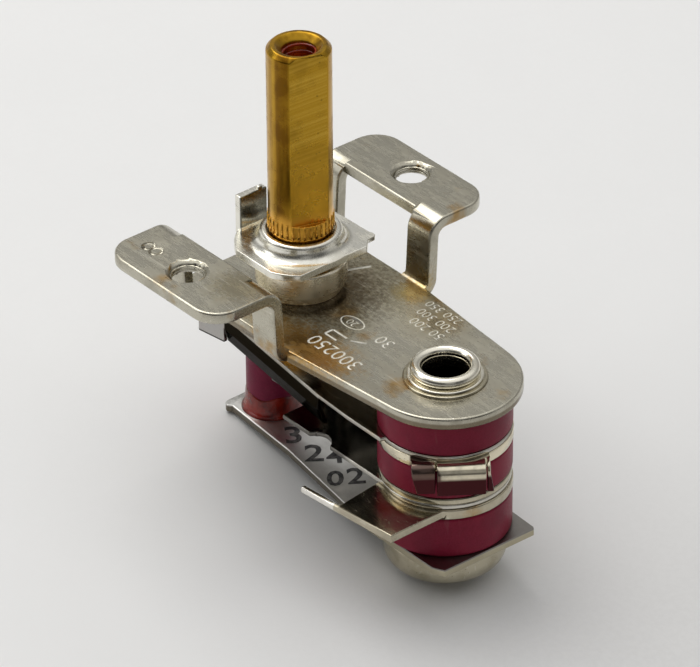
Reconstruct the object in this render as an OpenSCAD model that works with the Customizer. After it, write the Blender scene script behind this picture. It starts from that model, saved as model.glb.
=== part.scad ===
// Adjustable oven thermostat with a bimetal strip, a hollow brass spindle and a pressed steel bracket.
// The origin is on the spindle's axis, in the mounting plane: the top faces of the two ears.
// X runs from the spindle to the rivet, Y runs from ear to ear, Z points out of the appliance's panel.

/* [Bracket] */
// Thickness of the bracket's steel sheet
sheet_t = 1.25; // [1:0.05:1.4]
// Distance between the two threaded mounting holes
hole_pitch = 28; // [27.5:0.1:29]
// Distance from each mounting hole to the end of its ear, on average
ear_margin = 3.4; // [3.2:0.05:3.8]
// How far the two ears' ends sit to one side of the spindle
ears_shift = 0.3; // [0:0.05:0.4]
// Length of each ear along the bracket
ear_len = 16.9; // [16:0.1:18]
// Radius of an ear's outer corners
ear_corner_r = 2.9; // [1.5:0.1:3.2]
// Depth of the plate's top face below the mounting plane
plate_drop = 7.2; // [6.9:0.05:7.5]
// Distance between the inner faces of the legs, at their feet
legs_gap = 17.8; // [17.6:0.1:18]
// Angle by which each leg leans outwards
leg_lean = 3; // [0:0.5:4]
// Width of the two legs on the rivet's side
near_leg_w = 3.45; // [3:0.05:4]
// Width of the two legs on the far side
far_leg_w = 2.95; // [2.6:0.05:3.6]
// Width of the plate between the legs
plate_w = 17.4; // [17:0.1:17.6]
// Radius of the plate's round nose
nose_r = 7.45; // [7.1:0.05:7.6]
// Inside radius of the bends between plate and legs
foot_bend_r = 0.6; // [0.4:0.1:0.9]
// Inside radius of the bends between legs and ears
ear_bend_r = 0.9; // [0.6:0.05:1.1]
// Radius of the tapped hole in each ear
tap_r = 1.65; // [1.6:0.05:1.7]
// Radius of the countersink on each tapped hole
tap_sink_r = 2.15; // [2:0.05:2.4]
// Depth of the countersink on each tapped hole
tap_sink_h = 0.4; // [0.3:0.05:0.5]

/* [Spindle] */
// Diameter of the brass spindle
spindle_d = 6.35; // [6.2:0.05:6.4]
// Height of the spindle above the mounting plane
spindle_h = 19.7; // [15:0.1:25]
// Distance from the spindle's axis to its flat
flat_d = 2.55; // [2.5:0.05:2.9]
// Direction that the flat faces, from X
flat_angle = -19; // [-30:1:0]
// Radius of the thread in the spindle's top
spindle_tap_r = 1.65; // [1.6:0.05:1.7]
// Length of the thread in the spindle's top
spindle_tap_h = 9.5; // [8:0.5:11]
// Radius of the threaded stud in the bushing
stud_r = 2.55; // [2.5:0.05:2.6]
// Radial gap between the stud and the bushing
stud_clear = 0.05; // [0.03:0.01:0.08]
// Radius of the bushing
bushing_r = 4.5; // [4.3:0.1:4.8]
// Gap between the stop plate and the bushing, left for the spindle's travel
bushing_gap = 0.75; // [0.6:0.05:0.9]

/* [Stop plate] */
// Radius of the stop plate
stop_r = 6.5; // [6.2:0.1:6.7]
// Thickness of the stop plate
stop_t = 0.8; // [0.7:0.05:0.9]
// Depth of the stop plate's top face below the mounting plane
stop_drop = 2.2; // [2.1:0.05:2.4]
// Distance from the axis to the straight side by the rivet
stop_cut_x = 5; // [4.8:0.1:5.4]
// Distance from the axis to the two straight long sides
stop_side_y = 5.95; // [5.8:0.05:6.1]
// Outer radius of the drawn neck
neck_r = 4.05; // [3.9:0.05:4.2]
// Height of the upright tab above the stop plate
tab_h = 3.65; // [3:0.05:4.5]
// Width of the upright tab
tab_w = 3.3; // [2.8:0.1:3.6]

/* [Stack] */
// Distance from the spindle's axis to the rivet's axis
rivet_x = 21.5; // [21.2:0.1:22]
// Radius of the ceramic rings
ring_r = 6.5; // [6.3:0.05:6.6]
// Height of the top ring
top_ring_h = 3.65; // [3.5:0.05:3.8]
// Height of the middle ring
middle_ring_h = 3.3; // [3.2:0.05:3.5]
// Height of the bottom ring
bottom_ring_h = 4.4; // [4.2:0.05:4.6]
// Chamfer on the rings' edges
ring_chamfer = 0.2; // [0.1:0.05:0.3]
// Thickness of the two terminals
terminal_t = 1.1; // [1:0.05:1.2]
// Thickness of the washer under the middle ring
washer_t = 0.75; // [0.6:0.05:0.9]
// Radius of the ceramic collar inside the terminals
collar_r = 4; // [3.8:0.05:4.2]
// Radial gap between the collar and what it centres
collar_clear = 0.1; // [0.05:0.01:0.15]
// Radius of the hollow rivet's shank
shank_r = 2.8; // [2.7:0.05:2.85]
// Radius of the hollow rivet's bore
bore_r = 2.3; // [2.2:0.05:2.4]
// Radial gap around the shank
shank_clear = 0.08; // [0.05:0.01:0.1]
// Radius of the rivet's domed head
head_r = 6.05; // [5.8:0.05:6.2]
// Height of the rivet's domed head
head_h = 3.6; // [3.2:0.05:3.8]

/* [Strips] */
// Thickness of the upper contact arm
upper_t = 0.45; // [0.4:0.05:0.5]
// Thickness of the lower contact spring
lower_t = 0.5; // [0.4:0.05:0.55]
// Thickness of the bimetal strip
bimetal_t = 0.8; // [0.7:0.05:0.9]
// Distance from the spindle's axis to the free end of the contact arm
arm_reach = 10.2; // [9.5:0.1:11]
// Half width of the contact arm beside the stack
arm_root_y = 6.85; // [6.7:0.05:7]
// Half width of the contact arm at its free end
arm_tip_y = 4.9; // [4.7:0.05:5.2]
// Half width of the contact arm at its waist, between its free end and the ceramic pin
arm_waist_y = 4.4; // [4.2:0.05:4.7]
// Height of the contact arm's side flanges
flange_h = 3.6; // [3.2:0.05:3.8]
// Distance from the spindle's axis to the free end of the bimetal
bimetal_reach = 8.3; // [7.8:0.1:8.6]
// Half width of the bimetal at the stack
bimetal_root_y = 6.2; // [6:0.05:6.4]
// Half width of the bimetal beside the ceramic pin
bimetal_tip_y = 3.2; // [3.1:0.05:3.4]
// Distance from the spindle's axis to the contacts
contact_x = 5.5; // [5:0.1:6]
// Radius of the contacts
contact_r = 1.35; // [1.2:0.05:1.5]
// Gap between the two contacts
contact_gap = 0.3; // [0.28:0.01:0.4]
// Distance from the spindle's axis to the ceramic pin
pin_x = 4.8; // [4.7:0.05:4.9]
// Radius of the ceramic pin
pin_r = 2.6; // [2.4:0.05:2.65]

/* [Hidden] */
$fn = 64;

// Bracket: each leg is one straight strip between two bends, which it meets without a corner
ear_half = ear_len / 2;
ears_w = hole_pitch + 2 * ear_margin;
plate_z = -plate_drop;
plate_under = plate_z - sheet_t;
foot = [legs_gap / 2 - foot_bend_r * cos(leg_lean), plate_z + foot_bend_r];
bend_step = foot_bend_r + sheet_t + ear_bend_r;
leg_long = (-sheet_t - ear_bend_r - foot[1] + bend_step * sin(leg_lean)) / cos(leg_lean);
crest = [foot[0] + bend_step * cos(leg_lean) + leg_long * sin(leg_lean), -sheet_t - ear_bend_r];
window_y = crest[0] - 1.2;
near_leg_x = ear_half - near_leg_w;
far_leg_x = -ear_half + far_leg_w;

// Stack, from the plate's underside down to the rivet's head
arm_z = plate_under - top_ring_h;
upper_terminal_z = arm_z - upper_t;
middle_ring_z = upper_terminal_z - terminal_t;
tab_low = middle_ring_z - 2;
spacer_z = middle_ring_z - middle_ring_h;
spring_z = spacer_z - washer_t;
lower_terminal_z = spring_z - lower_t;
bottom_ring_z = lower_terminal_z - terminal_t;
bimetal_z = bottom_ring_z - bottom_ring_h;
head_z = bimetal_z - bimetal_t;
slip = shank_r + shank_clear;
collar_hole = collar_r + collar_clear;
disc_r = ring_r + 0.05;

// Spindle and bushing
spindle_r = spindle_d / 2;
stop_top = -stop_drop;
stop_under = stop_top - stop_t;
neck_top = -0.6;
neck_bore = spindle_r + 0.2;
seat_r = spindle_r - 0.02;
bushing_top = stop_under - bushing_gap;
bushing_low = plate_z + 0.85;
bushing_neck = bushing_r - 0.45;
spigot_r = 3.5;
stake_h = 0.5;
stud_end = plate_under - 2.5;
pin_bore_r = 1.25;
push_r = 1.2;
rod_r = 1.65;
rod_clear = 0.05;
rod_top = plate_z - 0.3;
rod_nose = 0.6;
rod_gap = 0.03;
screw_top = spindle_h - 3.4;
screw_h = 4;

// A straight block between two corners
module block(low, high) {
    translate(low) cube(high - low);
}

// A disc with chamfered edges and a hole, standing on z
module chamfered_ring(r, hole, z, h, c) {
    translate([0, 0, z]) rotate_extrude() polygon([[hole, 0], [r - c, 0], [r, c],
        [r, h - c], [r - c, h], [hole, h]]);
}

// The point where a line from p touches the circle of radius r at [cx, 0], on the side of +Y
function touch(p, cx, r) = let (dx = cx - p[0], d = norm([dx, p[1]]), a = atan2(p[1], -dx) - acos(r / d))
    [cx + r * cos(a), r * sin(a)];

// Points along an arc around c, from angle a0 to a1
function arc(c, r, a0, a1, n = 6) = [for (i = [0:n]) let (a = a0 + (a1 - a0) * i / n) c + r * [cos(a), sin(a)]];

// Everything on the rivet's axis
module on_rivet() {
    translate([rivet_x, 0, 0]) children();
}

// Side view of a leg: the plate's edge, the lower bend, the leaning strip, the upper bend and the ear's edge
module leg(x0, w) {
    r = foot_bend_r;
    e = ear_bend_r;
    up = 180 - leg_lean;
    lap = 0.5;
    translate([x0, 0, 0]) rotate([90, 0, 90]) linear_extrude(w) polygon(concat(
        [[foot[0] - lap, plate_z]], arc(foot, r, -90, -leg_lean, 8), arc(crest, e + sheet_t, up, 90, 12),
        [[crest[0] + lap, 0], [crest[0] + lap, -sheet_t]],
        arc(crest, e, 90, up, 8), arc(foot, r + sheet_t, -leg_lean, -90, 12), [[foot[0] - lap, plate_under]]));
}

module ear_outline(out) {
    r = ear_corner_r;
    translate([-ear_half, crest[0]]) square([ear_len, out - crest[0] - r]);
    translate([-ear_half + r, crest[0]]) square([ear_len - 2 * r, out - crest[0]]);
    for (x = [-ear_half + r, ear_half - r]) translate([x, out - r]) circle(r);
    translate([far_leg_x, window_y]) square([near_leg_x - far_leg_x, crest[0] - window_y + r]);
}

module side(out) {
    leg(-ear_half, far_leg_w);
    leg(near_leg_x, near_leg_w);
    difference() {
        translate([0, 0, -sheet_t]) linear_extrude(sheet_t) ear_outline(out);
        translate([0, hole_pitch / 2, -sheet_t - 1]) cylinder(r = tap_r, h = sheet_t + 2);
        translate([0, hole_pitch / 2, -tap_sink_h]) cylinder(r1 = tap_r, r2 = tap_sink_r, h = tap_sink_h);
        translate([0, hole_pitch / 2, 0]) cylinder(r = tap_sink_r, h = 1);
    }
}

module plate_outline() {
    shoulder = [ear_half, plate_w / 2];
    t = touch(shoulder, rivet_x, nose_r);
    translate([-ear_half, -foot[0]]) square([ear_len, 2 * foot[0]]);
    translate([far_leg_x, -plate_w / 2]) square([near_leg_x - far_leg_x, plate_w]);
    polygon([[near_leg_x, 0], [near_leg_x, -foot[0]], [ear_half, -foot[0]], [shoulder[0], -shoulder[1]],
        [t[0], -t[1]], [rivet_x, 0], t, shoulder, [ear_half, foot[0]], [near_leg_x, foot[0]]]);
    translate([rivet_x, 0]) circle(nose_r, $fn = 96);
}

module bracket() {
    color("#b3a98c") {
        difference() {
            translate([0, 0, plate_under]) linear_extrude(sheet_t) plate_outline();
            translate([0, 0, plate_under - 1]) cylinder(r = spigot_r + 0.02, h = sheet_t + 2);
            translate([rivet_x, 0, plate_under - 1]) cylinder(r = slip, h = sheet_t + 2);
        }
        side(ears_w / 2 - ears_shift);
        mirror([0, 1, 0]) side(ears_w / 2 + ears_shift);
    }
}

module bushing() {
    color("#b8b09a") difference() {
        rotate_extrude() polygon([[0, plate_under - stake_h], [spigot_r + 0.5, plate_under - stake_h],
            [spigot_r + 0.9, plate_under], [spigot_r, plate_under], [spigot_r, plate_z],
            [bushing_neck, plate_z], [bushing_neck, bushing_low], [bushing_r - 0.1, bushing_low],
            [bushing_r, bushing_low + 0.1], [bushing_r, bushing_top - 0.2], [bushing_r - 0.2, bushing_top],
            [0, bushing_top]]);
        translate([0, 0, plate_under - 1]) cylinder(r = stud_r + stud_clear, h = sheet_t + plate_drop);
    }
}

module spindle() {
    color("#c99a35") difference() {
        union() {
            rotate_extrude() polygon([[0, stop_under - 0.15], [seat_r, stop_under - 0.15],
                [seat_r, neck_top], [spindle_r, neck_top + 0.1], [spindle_r, spindle_h - 0.45],
                [spindle_r - 0.45, spindle_h], [0, spindle_h]]);
            translate([0, 0, stud_end]) cylinder(r = stud_r, h = stop_under - stud_end);
        }
        rotate([0, 0, flat_angle]) block([flat_d, -4, 1.1], [5, 4, spindle_h + 1]);
        translate([0, 0, spindle_h - spindle_tap_h]) cylinder(r = spindle_tap_r, h = spindle_tap_h + 1);
        translate([0, 0, spindle_h - 0.6]) cylinder(r1 = spindle_tap_r, r2 = 2.3, h = 0.6);
        translate([0, 0, stud_end - 1]) cylinder(r = pin_bore_r, h = spindle_h - spindle_tap_h - stud_end + 2);
        translate([0, 0, stud_end - 1]) cylinder(r = rod_r + rod_clear, h = rod_top - stud_end + 1.4);
    }
}

module neck_profile() {
    foot = 1.1;
    polygon(concat([[neck_bore, stop_top - 0.01], [neck_bore, neck_top], [neck_bore + 0.25, neck_top]],
        [for (a = [90:-15:0]) [neck_r - 0.4 + 0.4 * cos(a), neck_top - 0.4 + 0.4 * sin(a)]],
        [for (a = [180:15:270]) [neck_r + foot + foot * cos(a), stop_top + foot + foot * sin(a)]],
        [[neck_r + foot, stop_top - 0.01]]));
}

module stop_plate() {
    tab_x = -5.15;
    hook = [4.05, 5.9];
    hook_t = 0.55;
    nub = 0.5;
    color("#c9c2ae") difference() {
        union() {
            translate([0, 0, stop_under]) linear_extrude(stop_t) {
                intersection() {
                    circle(stop_r);
                    translate([-stop_r, -stop_side_y]) square([stop_r + stop_cut_x, 2 * stop_side_y]);
                }
            }
            translate([0, 0, stop_top - hook_t]) linear_extrude(hook_t) polygon([[-1.3, stop_side_y], [-1, 3],
                [4, 3], [4.1, 5.05], hook, [3.85, 6.15], [3.5, 6.2], [3, stop_side_y + 0.1]]);
            rotate_extrude() neck_profile();
            block([tab_x - 0.9, -tab_w, stop_under], [tab_x, 0, stop_top + tab_h]);
            block([tab_x - nub, -2 * nub, stop_top], [tab_x, -nub, stop_top + tab_h + 0.3]);
            block([tab_x, -tab_w, stop_under], [tab_x + 1, 0, stop_top]);
        }
        translate([0, 0, stop_under - 1]) cylinder(r = seat_r, h = 5);
        translate([0, 0, stop_top]) cylinder(r = neck_bore, h = 5);
    }
}

module calibration_screw() {
    slot_w = 0.6;
    color("#8c2030") translate([0, 0, screw_top - screw_h]) difference() {
        cylinder(r = spindle_tap_r - 0.02, h = screw_h);
        block([-2, -slot_w / 2, screw_h - 1], [2, slot_w / 2, screw_h + 1]);
    }
}

module push_pin() {
    low = rod_top;
    color("#9a9a9a") translate([0, 0, low]) cylinder(r = push_r, h = screw_top - screw_h - low);
}

module ceramic_rod() {
    tip = spring_z + rod_gap;
    color("#a03062") {
        translate([0, 0, tip + rod_nose]) cylinder(r = rod_r, h = rod_top - tip - rod_nose);
        translate([0, 0, tip]) cylinder(r1 = rod_r - 0.7, r2 = rod_r, h = rod_nose);
    }
}

module hollow_rivet() {
    curl_z = plate_z + 0.5;
    curl_r = 0.55;
    color("#c4bda6") on_rivet() difference() {
        union() {
            translate([0, 0, head_z]) cylinder(r = shank_r, h = curl_z - head_z + 0.3);
            rotate_extrude() translate([shank_r + 0.05, curl_z + curl_r]) circle(curl_r, $fn = 32);
            rotate_extrude() polygon(concat([[0, head_z], [head_r - 0.15, head_z], [head_r, head_z - 0.2],
                [head_r, head_z - 1.4]],
                [for (a = [10:10:80]) [head_r - 1.9 + 1.9 * cos(a), head_z - 1.4 - (head_h - 1.55) * sin(a)]],
                [[head_r - 1.9, head_z - head_h + 0.1], [0, head_z - head_h]]));
        }
        translate([0, 0, head_z + 2]) cylinder(r = bore_r, h = 30);
    }
}

module rivet_washer() {
    color("#c4bda6") on_rivet() translate([0, 0, plate_z]) rotate_extrude()
        polygon([[slip, 0], [4.1, 0], [4.1, 0.15], [4, 0.25], [3.7, 0.25], [3.7, 0.4], [3.6, 0.5], [slip, 0.5]]);
}

module top_ring() {
    color("#a83a66") on_rivet() chamfered_ring(ring_r, slip, arm_z, top_ring_h, ring_chamfer);
}

// The middle ring's collars reach up and down through the metal layers and keep them off the rivet
module middle_ring() {
    color("#a83a66") on_rivet() {
        chamfered_ring(ring_r, slip, spacer_z, middle_ring_h, ring_chamfer);
        for (span = [[bottom_ring_z, spacer_z], [middle_ring_z, arm_z]])
            translate([0, 0, span[0]]) difference() {
                cylinder(r = collar_r, h = span[1] - span[0]);
                translate([0, 0, -1]) cylinder(r = slip, h = span[1] - span[0] + 2);
            }
    }
}

module bottom_ring() {
    color("#a83a66") on_rivet() chamfered_ring(ring_r, slip, bimetal_z, bottom_ring_h, ring_chamfer);
}

module spacer_washer() {
    color("#c4bda6") on_rivet() chamfered_ring(ring_r - 0.05, collar_hole, spring_z, washer_t, 0.12);
}

// One upright part of the upper terminal's tab: flat from the disc, round the bend, then down along its outline
module tab_part(y, out, reach_in) {
    bend_out = 1.05;
    wall = 0.8;
    face = ring_r + 0.85 + out;
    start = face - bend_out;
    difference() {
        union() {
            block([2, y[0], middle_ring_z], [start, y[1], upper_terminal_z]);
            translate([start, y[1], upper_terminal_z - bend_out]) rotate([90, 0, 0])
                rotate_extrude(angle = 90) square([bend_out, y[1] - y[0]]);
        }
        block([0, y[0] - 1, middle_ring_z - 3], [face - wall, y[1] + 1, middle_ring_z]);
    }
    translate([face - wall, 0, 0]) rotate([90, 0, 90]) linear_extrude(wall)
        polygon([[y[0] + reach_in[0], tab_low], [y[1] + reach_in[1], tab_low],
            [y[1], upper_terminal_z - bend_out], [y[0], upper_terminal_z - bend_out]]);
}

// The upper terminal's tab hangs down the front of the middle ring: two feet, and a tongue that stands further out
module upper_terminal() {
    tab_angle = -36;
    half = 3.75;
    tongue_y = [-1.35, 3.3];
    slot = 0.15;
    color("#b5a27c") on_rivet() difference() {
        union() {
            translate([0, 0, middle_ring_z]) cylinder(r = disc_r, h = terminal_t);
            rotate([0, 0, tab_angle]) {
                tab_part([-half, tongue_y[0] - slot], 0, [0.5, 0]);
                tab_part([tongue_y[1] + slot, half], 0, [0, 0.35]);
                tab_part(tongue_y, 0.45, [0, 0]);
                block([2, -half, middle_ring_z], [disc_r - 0.4, half, upper_terminal_z]);
            }
        }
        translate([0, 0, middle_ring_z - 1]) cylinder(r = collar_hole, h = terminal_t + 2);
    }
}

// The lower terminal's flat wing reaches out sideways, with a narrow tail beside the strip
module lower_terminal() {
    front = ring_r - 1.65;
    side = -ring_r - 5;
    wing = [[0, -4], [front, -4], [front, side + 0.65], [-2.2, side], [-2.9, -6], [-2.9, -4]];
    tail = [[-2.15, side], [-7.3, side - 0.45], [-7.3, side + 0.1], [-2.2, side + 0.6]];
    color("#b5a27c") difference() {
        union() {
            on_rivet() translate([0, 0, bottom_ring_z]) cylinder(r = disc_r, h = terminal_t);
            on_rivet() translate([0, 0, lower_terminal_z - 0.9]) linear_extrude(0.9) polygon(wing);
            on_rivet() translate([0, 0, lower_terminal_z - 0.9]) linear_extrude(0.65) polygon(tail);
        }
        on_rivet() translate([0, 0, bottom_ring_z - 1]) cylinder(r = collar_hole, h = terminal_t + 2);
    }
}

// The low part of the contact arm's side flange, which is turned inwards, between two points of the arm's edge
module turned_flange(p, q, fold) {
    lean = 0.6;
    inset = 0.03;
    lap = 0.3;
    translate([p[0], p[1], arm_z]) rotate([0, 0, atan2(q[1] - p[1], q[0] - p[0])])
        rotate([90, 0, 90]) translate([0, 0, -lap]) linear_extrude(norm(q - p) + lap - inset)
            polygon([[-inset, 0.1 - fold], [-lean, -flange_h], [-lean - upper_t, -flange_h],
                [inset - upper_t, 0.1 - fold]]);
}

module contact_arm() {
    tip = [-arm_reach, arm_tip_y];
    waist = [-arm_reach + 3.4, arm_waist_y];
    hip = [10.4, arm_root_y - 0.3];
    root = [rivet_x - 1.5, arm_root_y];
    wall = [0, upper_t];
    fold_h = flange_h / 2;
    edge = [tip, waist, hip, [rivet_x - 6.5, arm_root_y - 0.05], root];
    color("#b9b1a0") {
        difference() {
            translate([0, 0, upper_terminal_z]) linear_extrude(upper_t) {
                polygon(concat(edge, [[rivet_x, 0]], [for (i = [len(edge) - 1:-1:0]) [edge[i][0], -edge[i][1]]]));
                translate([rivet_x, 0]) circle(ring_r);
            }
            on_rivet() translate([0, 0, upper_terminal_z - 1]) cylinder(r = collar_hole, h = upper_t + 2);
            translate([0, 0, upper_terminal_z - 1]) cylinder(r = rod_r + 0.8, h = upper_t + 2);
            translate([contact_x, 0, upper_terminal_z - 1]) cylinder(r = 0.8, h = upper_t + 2);
        }
        for (m = [0, 1]) mirror([0, m, 0]) {
            translate([0, 0, arm_z - fold_h]) linear_extrude(fold_h)
                polygon([tip, waist, hip, hip - wall, waist - wall, tip - wall]);
            translate([0, 0, arm_z - flange_h + 0.15]) linear_extrude(fold_h)
                polygon([tip, waist, waist - wall, tip - wall]);
            turned_flange(waist, hip, fold_h);
        }
    }
}

// Height of each contact's head, from its strip to the gap between the two
contact_h = (upper_terminal_z - spring_z - contact_gap) / 2;

module upper_contact() {
    color("#d8d4cc") translate([contact_x, 0, 0]) {
        translate([0, 0, upper_terminal_z - contact_h]) cylinder(r = contact_r, h = contact_h);
        translate([0, 0, upper_terminal_z]) cylinder(r = 0.75, h = upper_t);
        translate([0, 0, arm_z]) cylinder(r1 = 1.2, r2 = 0.9, h = 0.35);
    }
}

module lower_spring() {
    half = 6.05;
    end_x = 4.3;
    tongue_y = 2.6;
    tongue_reach = pin_x - pin_r - 0.5;
    notch_x = 9.95;
    notch_r = 1.65;
    color("#b9b1a0") difference() {
        translate([0, 0, lower_terminal_z]) linear_extrude(lower_t) difference() {
            union() {
                translate([end_x, -half]) square([rivet_x - end_x, 2 * half]);
                translate([-tongue_reach, -tongue_y]) square([end_x + tongue_reach + 0.3, 2 * tongue_y]);
                translate([rivet_x, 0]) circle(ring_r - 0.1);
            }
            for (y = [-half - 0.65, half + 0.65]) translate([notch_x, y]) circle(notch_r);
        }
        on_rivet() translate([0, 0, lower_terminal_z - 1]) cylinder(r = collar_hole, h = lower_t + 2);
        translate([contact_x, 0, lower_terminal_z - 1]) cylinder(r = 0.8, h = lower_t + 2);
    }
}

module lower_contact() {
    color("#d8d4cc") translate([contact_x, 0, 0]) {
        translate([0, 0, spring_z]) cylinder(r = contact_r, h = contact_h);
        translate([0, 0, lower_terminal_z]) cylinder(r = 0.75, h = lower_t);
        translate([0, 0, lower_terminal_z - 0.35]) cylinder(r1 = 0.9, r2 = 1.2, h = 0.35);
    }
}

module bimetal_strip() {
    front_x = rivet_x + disc_r;
    taper = [2.5, 17];
    tip_r = 0.7;
    tip = [-bimetal_reach + tip_r, bimetal_tip_y + 0.35 - tip_r];
    neck = [-bimetal_reach + 1.1, bimetal_tip_y];
    waist = bimetal_tip_y + 0.75;
    color("#c8c8c4") difference() {
        translate([0, 0, head_z]) linear_extrude(bimetal_t) polygon(concat(
            [[front_x, -bimetal_root_y + 0.6], [front_x + 0.2, bimetal_root_y - 0.7],
                [front_x - 0.1, bimetal_root_y - 0.5], [taper[1], bimetal_root_y], [taper[0], waist], neck],
            arc(tip, tip_r, 90, 180), arc([tip[0], -tip[1]], tip_r, 180, 270),
            [[neck[0], -neck[1]], [taper[0], -waist], [taper[1], -bimetal_root_y], [front_x - 1.2, -bimetal_root_y]]));
        on_rivet() translate([0, 0, head_z - 1]) cylinder(r = slip, h = bimetal_t + 2);
        translate([-pin_x, 0, head_z - 1]) cylinder(r = 0.85, h = bimetal_t + 2);
    }
}

module ceramic_pin() {
    shoulder = upper_terminal_z - 1.6;
    top = upper_terminal_z - rod_gap;
    color("#b03a5e") translate([-pin_x, 0, 0]) difference() {
        rotate_extrude() polygon([[0, bimetal_z], [pin_r, bimetal_z], [pin_r, shoulder - 0.3],
            [pin_r - 0.3, shoulder], [1.5, shoulder], [1.5, top - 0.4], [1.1, top], [0, top]]);
        translate([0, 0, bimetal_z - 1]) cylinder(r = 0.8, h = 5);
    }
}

module pin_rivet() {
    color("#c4bda6") translate([-pin_x, 0, 0]) {
        translate([0, 0, head_z]) cylinder(r = 0.75, h = bimetal_t + 3.5);
        translate([0, 0, head_z - 0.5]) cylinder(r1 = 1.1, r2 = 1.5, h = 0.5);
    }
}

bracket();
bushing();
spindle();
stop_plate();
calibration_screw();
push_pin();
ceramic_rod();
hollow_rivet();
rivet_washer();
top_ring();
middle_ring();
bottom_ring();
spacer_washer();
upper_terminal();
lower_terminal();
contact_arm();
upper_contact();
lower_spring();
lower_contact();
bimetal_strip();
ceramic_pin();
pin_rivet();
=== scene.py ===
"""Adjustable oven thermostat: detailed pieces, finishes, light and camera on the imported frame."""

import logging
import math
from collections.abc import Callable, Iterator
from contextlib import contextmanager
from dataclasses import dataclass, field
from enum import Enum
from typing import Any

import bmesh
import bpy
from mathutils import Matrix, Vector, noise
from mathutils.bvhtree import BVHTree
from mathutils.geometry import intersect_point_line


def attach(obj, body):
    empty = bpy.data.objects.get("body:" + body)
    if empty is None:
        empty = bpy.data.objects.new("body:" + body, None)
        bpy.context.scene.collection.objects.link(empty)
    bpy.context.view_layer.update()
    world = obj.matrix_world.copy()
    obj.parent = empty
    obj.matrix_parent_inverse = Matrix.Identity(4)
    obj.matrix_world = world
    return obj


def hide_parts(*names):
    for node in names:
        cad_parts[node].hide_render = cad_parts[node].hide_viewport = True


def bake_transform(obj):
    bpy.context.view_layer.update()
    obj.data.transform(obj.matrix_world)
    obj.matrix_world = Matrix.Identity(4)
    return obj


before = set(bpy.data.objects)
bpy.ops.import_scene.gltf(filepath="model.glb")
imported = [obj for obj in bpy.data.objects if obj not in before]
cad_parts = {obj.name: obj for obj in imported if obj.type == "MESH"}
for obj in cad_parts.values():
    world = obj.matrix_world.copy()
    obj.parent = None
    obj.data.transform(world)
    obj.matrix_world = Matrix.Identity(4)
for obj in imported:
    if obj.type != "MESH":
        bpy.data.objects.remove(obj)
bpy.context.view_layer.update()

LOG = logging.getLogger("thermostat")
MM = 0.001
SAME_POINT = 1e-7
CAD_JOIN = 8e-6
ONE_FACE = math.radians(0.3)
ROUNDED_FROM = math.radians(32.0)
SHARP_FROM = math.radians(40.0)
THROWN_OFF = 1.05
EDGE_WEIGHT = "bevel_weight_edge"
Colour = tuple[float, float, float]
Point = tuple[float, float, float]
Flat = tuple[float, float]


class Slot(Enum):
    """The record's material slots."""

    BRACKET = "bracket_steel"
    BUSHING = "bushing_steel"
    BRASS = "spindle_brass"
    STOP = "stop_steel"
    LACQUER = "lacquered_screw"
    PUSH = "push_steel"
    ROD = "rod_ceramic"
    RIVET = "rivet_steel"
    RING = "ring_ceramic"
    TERMINAL = "terminal_steel"
    SPRING = "spring_steel"
    CONTACT = "contact_silver"
    BIMETAL = "bimetal"
    PIN = "pin_ceramic"


class Body(Enum):
    """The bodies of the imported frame."""

    FRAME = "frame"
    PUSHER = "pusher"
    SPINDLE = "spindle"
    LOWER_SPRING = "lower_spring"
    BIMETAL = "bimetal"
    ARM = "contact_arm"


# Node trees


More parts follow.
